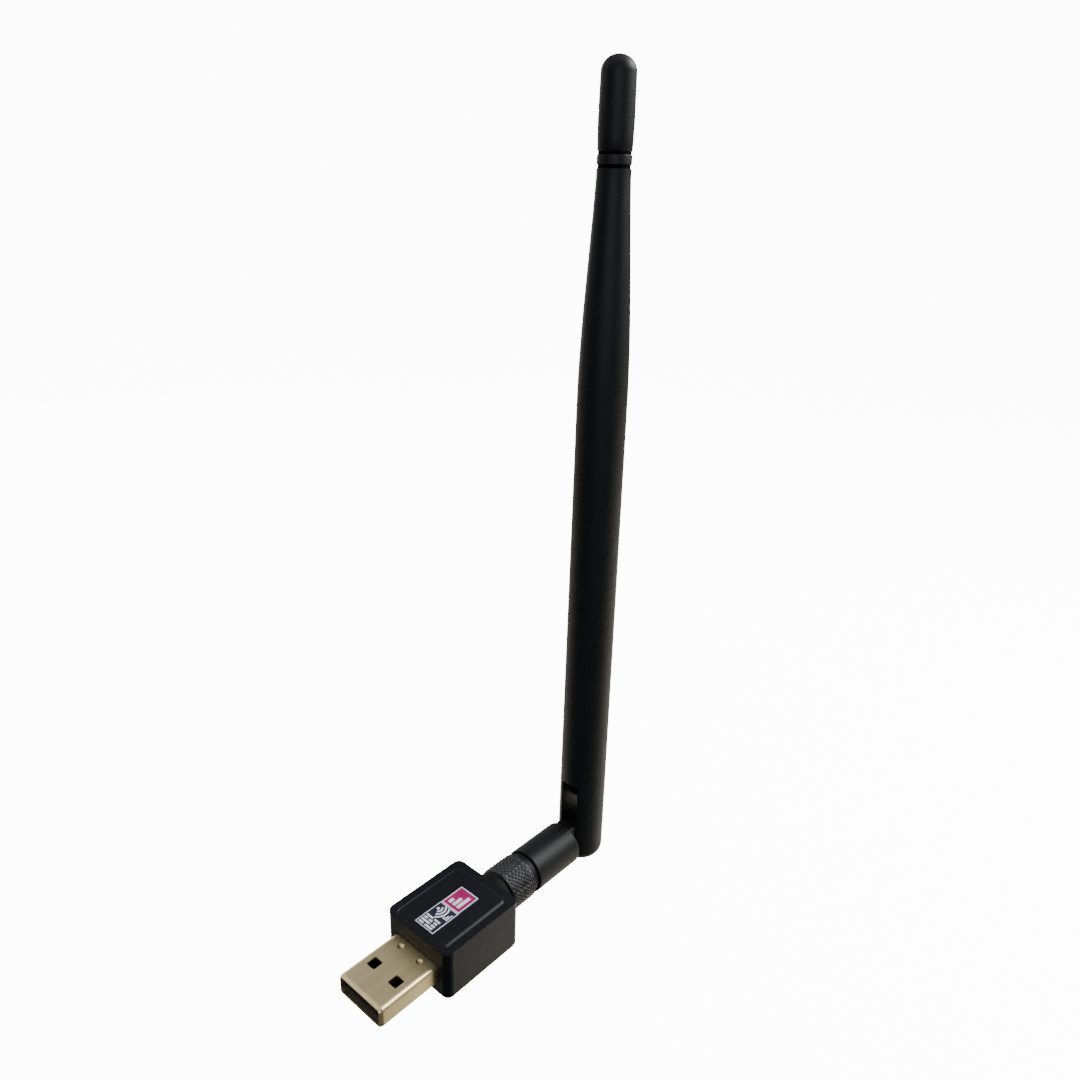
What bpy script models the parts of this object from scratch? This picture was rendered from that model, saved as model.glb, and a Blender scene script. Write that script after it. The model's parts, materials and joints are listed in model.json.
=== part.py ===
"""A USB wifi adapter: a plug on a small two-piece case, with a screw-on antenna that swivels and folds.

The origin is the centre of the plug where it leaves the case. +Y runs from the plug's tip towards the
antenna, +Z is up and +X is along the plug's width. At rest the antenna's blade stands straight up.
Lengths are in metres.
"""

import math

import bmesh
import bpy
from mathutils import Vector

# Clearances
SEAM_GAP = 0.0001
SOLDER_GAP = 0.00005
SNUG_GAP = 0.00005
RUNNING_GAP = 0.00006

# Case
CASE_WIDTH = 0.0174
CASE_LENGTH = 0.0194
CASE_BOTTOM = -0.0050
CASE_TOP = 0.0065
CASE_WALL = 0.0012
CASE_CORNER = 0.0016
CASE_EDGE = 0.0010
CORNER_LEAST = 0.0003
RIB_INNER = 0.0058
RIB_FRONT = 0.0060
RIB_BACK = 0.0150
PLUG_HOLE_GAP = 0.0002
LID_SEAM = 0.0059
LID_ROUND = 0.0003
PANEL_HEIGHT = 0.0003
PANEL_HALF_WIDTH = 0.0066
PANEL_FRONT = 0.0004
PANEL_BACK = 0.0173
PANEL_CORNER = 0.0012
PANEL_STEP = 0.0001
LID_LIP = 0.0008
LID_LIP_DEPTH = 0.0012
LID_UNDERSIDE = 0.0004
LABEL_WIDTH = 0.0052
LABEL_LENGTH = 0.0125
LABEL_THICKNESS = 0.00012
LABEL_GAP = 0.00002
LABEL_CENTRE = (0.0004, 0.0078)

# USB plug
PLUG_WIDTH = 0.0120
PLUG_HEIGHT = 0.0045
PLUG_REACH = 0.0135
PLUG_TAIL = 0.0040
PLUG_WALL = 0.0003
PLUG_CORNER = 0.0007
TIP_TAPER = 0.0004
TIP_INSET = 0.00025
LATCH_HOLE = 0.0022
LATCH_HOLE_SPACING = 0.00614
LATCH_HOLE_SETBACK = 0.00605
TONGUE_TOP = 0.00005
TONGUE_SETBACK = 0.0006
TONGUE_EDGE = 0.0002
CONTACT_WIDTH = 0.0010
CONTACT_THICKNESS = 0.00015
CONTACT_TAIL = 0.0020
# The outer contacts reach further forward, so that power connects first.
CONTACTS = ((-0.0035, 0.0016), (-0.0010, 0.0026), (0.0010, 0.0026), (0.0035, 0.0016))

# Circuit board. A component is its name, its centre (x, y), its size and its material.
BOARD_WIDTH = 0.0140
BOARD_FRONT = 0.0044
BOARD_BACK = 0.0167
BOARD_TOP = 0.0001
BOARD_THICKNESS = 0.0010
TOP_COMPONENTS = (
    ("wifi_chip", (0.0, 0.0100), (0.0060, 0.0060, 0.0009), "chip black"),
    ("crystal", (-0.0050, 0.0112), (0.0025, 0.0032, 0.0007), "steel"),
    ("capacitor_1", (0.0049, 0.0078), (0.0016, 0.0008, 0.0008), "capacitor ceramic"),
    ("capacitor_2", (0.0049, 0.0094), (0.0016, 0.0008, 0.0008), "capacitor ceramic"),
    ("activity_led", (0.0054, 0.0148), (0.0008, 0.0016, 0.0006), "led lens"),
)
UNDERSIDE_COMPONENTS = (
    ("voltage_regulator", (-0.0032, 0.0088), (0.0029, 0.0016, 0.0011), "chip black"),
    ("power_inductor", (0.0026, 0.0088), (0.0030, 0.0030, 0.0014), "chip black"),
    ("memory_chip", (0.0, 0.0130), (0.0030, 0.0020, 0.0009), "chip black"),
)

# Antenna connector, on the antenna's axis: starts and ends are distances along +Y
AXIS_HEIGHT = 0.0009
THREAD_RADIUS = 0.00317
THREAD_END = 0.0269
THREAD_CHAMFER = 0.0003
JACK_BORE = 0.0021
JACK_FLANGE = 0.0066
JACK_FLANGE_START = 0.0169
JACK_FLANGE_END = 0.0181
LEG_PLACE = 0.0028
LEG_WIDTH = 0.0008
LEG_HEIGHT = 0.0009
LEG_LENGTH = 0.0030
JACK_INSULATOR_END = 0.0244
JACK_PIN_START = 0.0139
JACK_PIN_END = 0.0262
JACK_PIN_RADIUS = 0.00045
COLLAR_RADIUS = 0.0047
COLLAR_START = 0.0195
COLLAR_END = 0.0219
NUT_RADIUS = 0.00493
NUT_START = 0.0221
NUT_END = 0.0290
NUT_EDGE = 0.0004
NUT_BORE = 0.0033
NUT_LIP = 0.0011
NUT_LIP_BORE = 0.00262
FERRULE_FLANGE = 0.0030
FERRULE_FLANGE_START = 0.02705
FERRULE_FLANGE_GAP = 0.00015
FERRULE_NECK = 0.0025
FERRULE_SPIGOT = 0.0020
FERRULE_BORE = 0.0014
FERRULE_FRONT = 0.0249
FERRULE_BACK = 0.0345
INSULATOR_BORE = 0.0009
INSULATOR_SETBACK = 0.0003
SOCKET_FRONT = 0.0247
SOCKET_FLOOR = 0.0268
SOCKET_BACK = 0.0336
SOCKET_RADIUS = 0.00085
SOCKET_BORE = 0.00052
RING_START = 0.0334
RING_END = 0.0339
RING_SEAT = 0.0022
RING_RADIUS = 0.0031

# Barrel and hinge
BARREL_RADIUS = 0.00477
BARREL_EDGE = 0.0003
BARREL_NECK_RADIUS = 0.0044
BARREL_START = 0.0292
BARREL_SHOULDER = 0.0302
BARREL_END = 0.0432
CHAMBER_RADIUS = 0.0034
CHAMBER_START = 0.0330
CHAMBER_END = 0.0365
HINGE_Y = 0.0492
KNUCKLE_HALF = 0.0020
KNUCKLE_RADIUS = 0.0045
KNUCKLE_ROOT = 0.0012
BEND_ROOM_FRONT = 0.0024
BEND_ROOM_REACH = 0.0060
FORK_HALF = 0.00215
FORK_ROOT = 0.0090
RUN_OUT_RADIUS = 0.0075
RUN_OUT_SETBACK = 0.0080
RUN_OUT_HEIGHT = 0.0080
RUN_OUT_STEPS = 6
EAR_DEPTH = 0.00535
EAR_ROUND = 0.0026
EAR_ROUND_STEPS = 6
PIN_RADIUS = 0.0010
PIN_REACH = 0.0040
PIN_END_GAP = 0.0002
PIN_SOCKET_OVERRUN = 0.0005
COAX_RADIUS = 0.00065
COAX_CHANNEL = 0.0008
COAX_GAP = 0.0008

# Blade: starts, ends and places are distances up from the hinge
BLADE_BASE_RADIUS = 0.0050
BLADE_MIDDLE_RADIUS = 0.0048
BLADE_NECK_RADIUS = 0.00305
BLADE_TAPER_START = 0.0980
BLADE_TAPER_TOP = 0.1380
BLADE_TAPER_END = 0.1520
BLADE_TAPER_STEPS = 8
BLADE_TOP = 0.1418
BLADE_TIP = 0.1571
BLADE_WALL = 0.0012
BORE_START = 0.0155
BORE_CONE = 0.0006
RING_GROOVE = 0.1399
RING_GROOVE_WIDTH = 0.0007
RING_GROOVE_DEPTH = 0.00025
CAP_START = 0.1423
CAP_RADIUS = 0.0031
CAP_CROWN = 0.00005
CAP_CROWN_HEIGHT = 0.0050
CAP_SPIGOT_RADIUS = 0.0016
CAP_SPIGOT_DEPTH = 0.0050
CAP_DOME = 0.0027

# Radiating elements inside the blade
SLEEVE_START = 0.0480
SLEEVE_END = 0.0790
SLEEVE_RADIUS = 0.0023
SLEEVE_WALL = 0.0003
SLEEVE_CROWN = 0.0005
WHIP_START = 0.0796
WHIP_END = 0.1350
WHIP_RADIUS = 0.0004
WHIP_COIL_START = 0.1040
WHIP_COIL_LENGTH = 0.0080
WHIP_COIL_TURNS = 4
WHIP_COIL_RADIUS = 0.0014
WHIP_COIL_EASE = 8

# Sides of round pieces, and how far a cutter runs past what it cuts
ROUND = 36
INNER_ROUND = 24
SMALL_ROUND = 20
WIRE_ROUND = 12
OVERRUN = 0.001
CUTTER_REACH = 0.007

# Colour, roughness and metallic value of each material
FINISHES = {
    "case plastic": ((0.020, 0.021, 0.026), 0.42, 0.0),
    "antenna plastic": ((0.016, 0.017, 0.018), 0.45, 0.0),
    "black rubber": ((0.010, 0.010, 0.010), 0.8, 0.0),
    "label print": ((0.75, 0.13, 0.36), 0.5, 0.0),
    "pale gold plating": ((0.78, 0.68, 0.48), 0.25, 1.0),
    "contact gold": ((0.90, 0.68, 0.30), 0.25, 1.0),
    "tongue plastic": ((0.012, 0.012, 0.013), 0.45, 0.0),
    "board green": ((0.03, 0.16, 0.07), 0.45, 0.0),
    "chip black": ((0.03, 0.03, 0.03), 0.6, 0.0),
    "capacitor ceramic": ((0.45, 0.33, 0.22), 0.6, 0.0),
    "led lens": ((0.80, 0.75, 0.45), 0.3, 0.0),
    "brass": ((0.80, 0.62, 0.32), 0.3, 1.0),
    "copper": ((0.80, 0.42, 0.27), 0.3, 1.0),
    "black nickel": ((0.30, 0.30, 0.31), 0.3, 1.0),
    "steel": ((0.60, 0.60, 0.60), 0.3, 1.0),
    "white ptfe": ((0.85, 0.85, 0.83), 0.6, 0.0),
    "coax jacket": ((0.018, 0.017, 0.016), 0.5, 0.0),
}


def material(name):
    """The named finish as a material, made the first time it is asked for."""
    if name in bpy.data.materials:
        return bpy.data.materials[name]
    colour, roughness, metallic = FINISHES[name]
    made = bpy.data.materials.new(name)
    made.use_nodes = True
    shader = made.node_tree.nodes["Principled BSDF"]
    shader.inputs["Base Color"].default_value = (*colour, 1.0)
    shader.inputs["Roughness"].default_value = roughness
    shader.inputs["Metallic"].default_value = metallic
    return made


def empty(name, location, rotation=(0.0, 0.0, 0.0), parent=None):
    made = bpy.data.objects.new(name, None)
    bpy.context.scene.collection.objects.link(made)
    made.location = location
    made.rotation_euler = rotation
    made.parent = parent
    return made


def finish(name, shape, finish_name, parent):
    """Turns a bmesh into a named object with its normals facing out. With no finish it is a hidden helper."""
    bmesh.ops.recalc_face_normals(shape, faces=shape.faces)
    mesh = bpy.data.meshes.new(name)
    shape.to_mesh(mesh)
    shape.free()
    mesh.shade_smooth()
    mesh.set_sharp_from_angle(angle=math.radians(35))
    made = bpy.data.objects.new(name, mesh)
    made.parent = parent
    bpy.context.scene.collection.objects.link(made)
    if finish_name:
        mesh.materials.append(material(finish_name))
    else:
        made.hide_render = True
        made.display_type = "WIRE"
    return made


def skin_rings(shape, rings, closed_loop):
    """Joins rings of equal vertex count with quads, and a one-vertex ring to its neighbour with triangles."""
    pairs = list(zip(rings, rings[1:]))
    if closed_loop:
        pairs.append((rings[-1], rings[0]))
    for first, second in pairs:
        count = max(len(first), len(second))
        for i in range(count):
            j = (i + 1) % count
            if len(first) == 1:
                shape.faces.new((first[0], second[j], second[i]))
            elif len(second) == 1:
                shape.faces.new((first[i], first[j], second[0]))
            else:
                shape.faces.new((first[i], first[j], second[j], second[i]))


def turned(name, outline, finish_name, parent, segments=ROUND):
    """A solid of revolution about local Z from (place, radius) points, bored unless it starts at radius 0."""
    shape = bmesh.new()
    rings = []
    for place, radius in outline:
        if radius == 0.0:
            rings.append([shape.verts.new((0.0, 0.0, place))])
            continue
        ring = []
        for i in range(segments):
            angle = math.tau * i / segments
            ring.append(shape.verts.new((radius * math.cos(angle), radius * math.sin(angle), place)))
        rings.append(ring)
    skin_rings(shape, rings, closed_loop=outline[0][1] > 0.0)
    return finish(name, shape, finish_name, parent)


def rod(name, start, end, radius, finish_name, parent, segments=SMALL_ROUND):
    outline = [(start, 0.0), (start, radius), (end, radius), (end, 0.0)]
    return turned(name, outline, finish_name, parent, segments)


def tube(name, start, end, outer, inner, finish_name, parent, segments=ROUND):
    outline = [(start, inner), (start, outer), (end, outer), (end, inner)]
    return turned(name, outline, finish_name, parent, segments)


def cross_rod(name, low_x, high_x, radius, finish_name, parent, segments=SMALL_ROUND):
    """A round bar along X through its parent's origin."""
    made = rod(name, low_x, high_x, radius, finish_name, parent, segments)
    made.rotation_euler = (0.0, math.radians(90), 0.0)
    return made


def block(name, low, high, finish_name, parent, edge=0.0):
    """A box between two corners, with its edges bevelled where edge is given."""
    shape = bmesh.new()
    bmesh.ops.create_cube(shape, size=1.0)
    for vertex in shape.verts:
        for axis in range(3):
            vertex.co[axis] = high[axis] if vertex.co[axis] > 0 else low[axis]
    if edge:
        bmesh.ops.bevel(shape, geom=shape.edges[:], offset=edge, segments=1, affect="EDGES", profile=0.5)
    return finish(name, shape, finish_name, parent)


def centred_block(name, centre, size, finish_name, parent):
    half = Vector(size) / 2
    return block(name, Vector(centre) - half, Vector(centre) + half, finish_name, parent)


def rounded_outline(half_width, half_length, corner, steps=4):
    """(x, y) points of a rectangle with round corners, anticlockwise about its centre."""
    points = []
    for quarter, (sign_x, sign_y) in enumerate(((1, 1), (-1, 1), (-1, -1), (1, -1))):
        for step in range(steps + 1):
            angle = math.radians(90) * (quarter + step / steps)
            x = sign_x * (half_width - corner) + corner * math.cos(angle)
            y = sign_y * (half_length - corner) + corner * math.sin(angle)
            points.append((x, y))
    return points


def stacked(name, levels, size, corner, centre_y, finish_name, parent):
    """A closed body through (z, inset) levels of a round-cornered (width, length) outline."""
    shape = bmesh.new()
    rings = []
    for height, inset in levels:
        outline = rounded_outline(size[0] / 2 - inset, size[1] / 2 - inset, max(corner - inset, CORNER_LEAST))
        rings.append([shape.verts.new((x, centre_y + y, height)) for x, y in outline])
    skin_rings(shape, rings, closed_loop=False)
    shape.faces.new(rings[0][::-1])
    shape.faces.new(rings[-1])
    return finish(name, shape, finish_name, parent)


def case_shape(name, levels, adapter):
    size = (CASE_WIDTH, CASE_LENGTH)
    return stacked(name, levels, size, CASE_CORNER, CASE_LENGTH / 2, "case plastic", adapter)


def boolean(target, other, operation="DIFFERENCE"):
    modifier = target.modifiers.new(operation.title() + " " + other.name, "BOOLEAN")
    modifier.operation = operation
    modifier.object = other


def build_case_bottom(adapter, antenna_line):
    """The tray: rounded lower edges, two ribs for the board, and holes for the plug and the jack."""
    floor = CASE_BOTTOM + CASE_WALL
    rim = LID_SEAM - SEAM_GAP
    levels = []
    for step in (3, 2, 1, 0):
        angle = math.radians(90) * step / 3
        height = CASE_BOTTOM + CASE_EDGE * (1 - math.sin(angle))
        levels.append((height, CASE_EDGE * (1 - math.cos(angle))))
    levels += [(rim, 0.0), (rim, CASE_WALL), (floor, CASE_WALL)]
    case = case_shape("case_bottom", levels, adapter)

    rib_top = BOARD_TOP - BOARD_THICKNESS - SOLDER_GAP
    rib_outer = CASE_WIDTH / 2 - CASE_WALL / 2
    for name, low_x, high_x in (("left", -rib_outer, -RIB_INNER), ("right", RIB_INNER, rib_outer)):
        low = (low_x, RIB_FRONT, floor - CASE_WALL / 2)
        rib = block(f"added_rib_{name}", low, (high_x, RIB_BACK, rib_top), None, adapter)
        boolean(case, rib, "UNION")

    hole_size = (PLUG_WIDTH + 2 * PLUG_HOLE_GAP, 4 * CASE_WALL, PLUG_HEIGHT + 2 * PLUG_HOLE_GAP)
    boolean(case, centred_block("cutter_plug_hole", (0.0, 0.0, 0.0), hole_size, None, adapter))
    hole_start = CASE_LENGTH - 1.5 * CASE_WALL
    boolean(case, rod("cutter_jack_hole", hole_start, CASE_LENGTH + OVERRUN, NUT_BORE, None, antenna_line))


def build_lid(adapter):
    """The lid: a lip inside the tray's rim, rounded sides and a panel raised a little above its border."""
    lip_inset = CASE_WALL + SEAM_GAP
    lip_bottom = LID_SEAM - LID_LIP_DEPTH
    border_top = CASE_TOP - PANEL_HEIGHT
    levels = [
        (LID_SEAM - LID_UNDERSIDE, lip_inset + LID_LIP),
        (lip_bottom, lip_inset + LID_LIP),
        (lip_bottom, lip_inset),
        (LID_SEAM, lip_inset),
        (LID_SEAM, 0.0),
        (border_top - 0.4 * LID_ROUND, 0.2 * LID_ROUND),
        (border_top, LID_ROUND),
    ]
    lid = case_shape("case_lid", levels, adapter)
    levels = [(border_top - PANEL_STEP, 0.0), (CASE_TOP - PANEL_STEP, 0.0), (CASE_TOP, PANEL_STEP)]
    size = (2 * PANEL_HALF_WIDTH, PANEL_BACK - PANEL_FRONT)
    middle = (PANEL_FRONT + PANEL_BACK) / 2
    boolean(lid, stacked("added_panel", levels, size, PANEL_CORNER, middle, None, adapter), "UNION")

    size = (LABEL_WIDTH, LABEL_LENGTH, LABEL_THICKNESS)
    centre = (*LABEL_CENTRE, CASE_TOP + LABEL_GAP + LABEL_THICKNESS / 2)
    centred_block("label", centre, size, "label print", adapter)


def build_plug(adapter):
    """The folded shell with its latch holes, the tongue and the four contacts on it."""
    shape = bmesh.new()
    rings = []
    taper_end = -PLUG_REACH + TIP_TAPER
    outer = ((-PLUG_REACH, TIP_INSET), (taper_end, 0.0), (PLUG_TAIL, 0.0))
    inner = ((PLUG_TAIL, PLUG_WALL), (taper_end, PLUG_WALL), (-PLUG_REACH, PLUG_WALL + SEAM_GAP))
    for place, inset in outer + inner:
        corner = PLUG_CORNER - min(inset, PLUG_WALL)
        outline = rounded_outline(PLUG_WIDTH / 2 - inset, PLUG_HEIGHT / 2 - inset, corner, 3)
        rings.append([shape.verts.new((x, place, z)) for x, z in outline])
    skin_rings(shape, rings, closed_loop=True)
    shell = finish("usb_shell", shape, "pale gold plating", adapter)
    for name, x in (("left", -LATCH_HOLE_SPACING / 2), ("right", LATCH_HOLE_SPACING / 2)):
        centre = (x, -PLUG_REACH + LATCH_HOLE_SETBACK, 0.0)
        size = (LATCH_HOLE, LATCH_HOLE, 2 * PLUG_HEIGHT)
        boolean(shell, centred_block(f"cutter_latch_hole_{name}", centre, size, None, adapter))

    inset = PLUG_WALL + SEAM_GAP
    low = (-PLUG_WIDTH / 2 + inset, -PLUG_REACH + TONGUE_SETBACK, -PLUG_HEIGHT / 2 + inset)
    high = (PLUG_WIDTH / 2 - inset, PLUG_TAIL - PLUG_HOLE_GAP, TONGUE_TOP)
    block("usb_tongue", low, high, "tongue plastic", adapter, edge=TONGUE_EDGE)

    bottom = BOARD_TOP + SOLDER_GAP
    for number, (x, setback) in enumerate(CONTACTS, 1):
        low = (x - CONTACT_WIDTH / 2, -PLUG_REACH + setback, bottom)
        high = (x + CONTACT_WIDTH / 2, BOARD_FRONT + CONTACT_TAIL, bottom + CONTACT_THICKNESS)
        block(f"usb_contact_{number}", low, high, "contact gold", adapter)


def build_board(adapter):
    """The circuit board with its components, each a solder gap away from it."""
    bottom = BOARD_TOP - BOARD_THICKNESS
    low = (-BOARD_WIDTH / 2, BOARD_FRONT, bottom)
    block("circuit_board", low, (BOARD_WIDTH / 2, BOARD_BACK, BOARD_TOP), "board green", adapter)
    for name, place, size, finish_name in TOP_COMPONENTS:
        height = BOARD_TOP + SOLDER_GAP + size[2] / 2
        centred_block(name, (*place, height), size, finish_name, adapter)
    for name, place, size, finish_name in UNDERSIDE_COMPONENTS:
        height = bottom - SOLDER_GAP - size[2] / 2
        centred_block(name, (*place, height), size, finish_name, adapter)


def build_jack(adapter, antenna_line):
    """The board-edge jack: a threaded barrel, a square flange with four legs, insulator, pin and collar."""
    jack = turned(
        "antenna_jack",
        [
            (JACK_FLANGE_START, JACK_BORE),
            (JACK_FLANGE_START, THREAD_RADIUS),
            (THREAD_END - THREAD_CHAMFER, THREAD_RADIUS),
            (THREAD_END, THREAD_RADIUS - THREAD_CHAMFER),
            (THREAD_END, JACK_BORE),
        ],
        "brass",
        antenna_line,
    )
    middle = (0.0, 0.0, (JACK_FLANGE_START + JACK_FLANGE_END) / 2)
    thickness = JACK_FLANGE_END - JACK_FLANGE_START - 2 * SEAM_GAP
    flange = centred_block("added_flange", middle, (JACK_FLANGE, JACK_FLANGE, thickness), None, antenna_line)
    clear = JACK_BORE + PLUG_HOLE_GAP
    start, end = JACK_FLANGE_START - OVERRUN, JACK_FLANGE_END + OVERRUN
    boolean(flange, rod("cutter_flange_bore", start, end, clear, None, antenna_line))
    boolean(jack, flange, "UNION")
    leg_y = JACK_FLANGE_START - LEG_LENGTH / 2 + LEG_WIDTH / 2
    upper_z = BOARD_TOP + SEAM_GAP + LEG_HEIGHT / 2
    lower_z = BOARD_TOP - BOARD_THICKNESS - SEAM_GAP - LEG_HEIGHT / 2
    for row, z in (("upper", upper_z), ("lower", lower_z)):
        for side, x in (("left", -LEG_PLACE), ("right", LEG_PLACE)):
            size = (LEG_WIDTH, LEG_LENGTH + LEG_WIDTH, LEG_HEIGHT)
            leg = centred_block(f"added_leg_{row}_{side}", (x, leg_y, z), size, None, adapter)
            boolean(jack, leg, "UNION")

    start, outer = JACK_FLANGE_START + SEAM_GAP, JACK_BORE - SNUG_GAP
    inner = JACK_PIN_RADIUS + SNUG_GAP
    tube("jack_insulator", start, JACK_INSULATOR_END, outer, inner, "white ptfe", antenna_line, SMALL_ROUND)
    start, end = JACK_PIN_START, JACK_PIN_END
    rod("jack_pin", start, end, JACK_PIN_RADIUS, "contact gold", antenna_line, WIRE_ROUND)
    tube("jack_collar", COLLAR_START, COLLAR_END, COLLAR_RADIUS, NUT_BORE, "black rubber", antenna_line)


def build_nut(antenna_line):
    """The coupling nut: a wide bore over the thread, and a rear lip that runs behind the ferrule's flange."""
    lip_start = NUT_END - NUT_LIP
    outline = [
        (NUT_START, NUT_BORE),
        (NUT_START, NUT_RADIUS - NUT_EDGE),
        (NUT_START + NUT_EDGE, NUT_RADIUS),
        (NUT_END - NUT_EDGE, NUT_RADIUS),
        (NUT_END, NUT_RADIUS - NUT_EDGE),
        (NUT_END, NUT_LIP_BORE),
        (lip_start, NUT_LIP_BORE),
        (lip_start, NUT_BORE),
    ]
    turned("coupling_nut", outline, "black nickel", antenna_line)


def build_connector(antenna_line):
    """What stays still while the nut turns: the ferrule, its insulator and socket, and the barrel's ring."""
    flange_end = NUT_END - NUT_LIP - FERRULE_FLANGE_GAP
    outline = [
        (FERRULE_FRONT, FERRULE_BORE),
        (FERRULE_FRONT, FERRULE_SPIGOT),
        (FERRULE_FLANGE_START, FERRULE_SPIGOT),
        (FERRULE_FLANGE_START, FERRULE_FLANGE),
        (flange_end, FERRULE_FLANGE),
        (flange_end, FERRULE_NECK),
        (RING_START - SNUG_GAP, FERRULE_NECK),
        (RING_START - SNUG_GAP, RING_SEAT),
        (RING_END + SNUG_GAP, RING_SEAT),
        (RING_END + SNUG_GAP, FERRULE_NECK),
        (FERRULE_BACK, FERRULE_NECK),
        (FERRULE_BACK, FERRULE_BORE),
    ]
    turned("connector_ferrule", outline, "brass", antenna_line)
    tube("retaining_ring", RING_START, RING_END, RING_RADIUS, RING_SEAT + SNUG_GAP, "steel", antenna_line)
    start, end = FERRULE_FRONT + INSULATOR_SETBACK, FERRULE_BACK - INSULATOR_SETBACK
    outer = FERRULE_BORE - SNUG_GAP
    tube("antenna_insulator", start, end, outer, INSULATOR_BORE, "white ptfe", antenna_line, SMALL_ROUND)
    outline = [
        (SOCKET_FLOOR, 0.0),
        (SOCKET_FLOOR, SOCKET_BORE),
        (SOCKET_FRONT, SOCKET_BORE),
        (SOCKET_FRONT, SOCKET_RADIUS),
        (SOCKET_BACK, SOCKET_RADIUS),
        (SOCKET_BACK, 0.0),
    ]
    turned("antenna_socket", outline, "contact gold", antenna_line, SMALL_ROUND)


def build_barrel(adapter, antenna_line, hinge):
    """The swivelling barrel with a hinge knuckle on its end, the two hinge pins and the lead through it."""
    outline = [
        (BARREL_START, FERRULE_NECK + RUNNING_GAP),
        (BARREL_START, BARREL_NECK_RADIUS),
        (BARREL_SHOULDER, BARREL_NECK_RADIUS),
        (BARREL_SHOULDER + BARREL_EDGE, BARREL_RADIUS),
        (BARREL_END - BARREL_EDGE, BARREL_RADIUS),
        (BARREL_END, BARREL_RADIUS - BARREL_EDGE),
        (BARREL_END, COAX_CHANNEL),
        (CHAMBER_END, COAX_CHANNEL),
        (CHAMBER_END, CHAMBER_RADIUS),
        (CHAMBER_START, CHAMBER_RADIUS),
        (CHAMBER_START, FERRULE_NECK + RUNNING_GAP),
    ]
    barrel = turned("barrel", outline, "antenna plastic", antenna_line)
    low = (-KNUCKLE_HALF, BARREL_END - KNUCKLE_ROOT, AXIS_HEIGHT - KNUCKLE_RADIUS)
    high = (KNUCKLE_HALF, HINGE_Y, AXIS_HEIGHT + KNUCKLE_RADIUS)
    tongue = block("added_tongue", low, high, None, adapter)
    knuckle = cross_rod("added_knuckle", -KNUCKLE_HALF, KNUCKLE_HALF, KNUCKLE_RADIUS, None, hinge, ROUND)
    boolean(tongue, knuckle, "UNION")
    boolean(barrel, tongue, "UNION")

    # The lead runs up the middle and bends in a slot that is open at the top and the back.
    start, end = CHAMBER_END - OVERRUN, HINGE_Y - BEND_ROOM_FRONT + OVERRUN
    boolean(barrel, rod("cutter_coax_channel", start, end, COAX_CHANNEL, None, antenna_line, WIRE_ROUND))
    low = (-COAX_CHANNEL, -BEND_ROOM_FRONT, -COAX_CHANNEL)
    high = (COAX_CHANNEL, BEND_ROOM_REACH, BEND_ROOM_REACH)
    boolean(barrel, block("cutter_bend_room", low, high, None, hinge))
    reach = KNUCKLE_HALF + OVERRUN
    boolean(barrel, cross_rod("cutter_pin_hole", -reach, reach, PIN_RADIUS + RUNNING_GAP / 2, None, hinge))

    inner, outer = COAX_CHANNEL + SEAM_GAP, PIN_REACH - PIN_END_GAP
    cross_rod("hinge_pin_left", -outer, -inner, PIN_RADIUS, "steel", hinge)
    cross_rod("hinge_pin_right", inner, outer, PIN_RADIUS, "steel", hinge)
    start = FERRULE_BACK + INSULATOR_SETBACK
    rod("coax_lower", start, HINGE_Y - COAX_GAP, COAX_RADIUS, "coax jacket", antenna_line, WIRE_ROUND)


def blade_radius(place):
    """The blade's outer radius: an even slight taper, then a smooth one that narrows it to the neck."""
    if place <= BLADE_TAPER_START:
        return BLADE_BASE_RADIUS + (BLADE_MIDDLE_RADIUS - BLADE_BASE_RADIUS) * place / BLADE_TAPER_START
    whole = BLADE_TAPER_END - BLADE_TAPER_START
    eased = (1 - math.cos(math.pi * (place - BLADE_TAPER_START) / whole)) / 2
    at_neck = (1 - math.cos(math.pi * (BLADE_TAPER_TOP - BLADE_TAPER_START) / whole)) / 2
    return BLADE_MIDDLE_RADIUS - (BLADE_MIDDLE_RADIUS - BLADE_NECK_RADIUS) * eased / at_neck


def fork_slot_outline():
    """(y, z) points of the fork's slot seen from the side. Its root curves up to the front face."""
    reach = CUTTER_REACH
    outline = [(-reach, -reach), (reach, -reach), (reach, FORK_ROOT)]
    start = math.asin((FORK_ROOT - RUN_OUT_HEIGHT) / RUN_OUT_RADIUS)
    end = math.acos((RUN_OUT_SETBACK - reach) / RUN_OUT_RADIUS)
    for i in range(RUN_OUT_STEPS + 1):
        angle = start + (end - start) * i / RUN_OUT_STEPS
        y = RUN_OUT_RADIUS * math.cos(angle) - RUN_OUT_SETBACK
        outline.append((y, RUN_OUT_HEIGHT + RUN_OUT_RADIUS * math.sin(angle)))
    return outline


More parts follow.
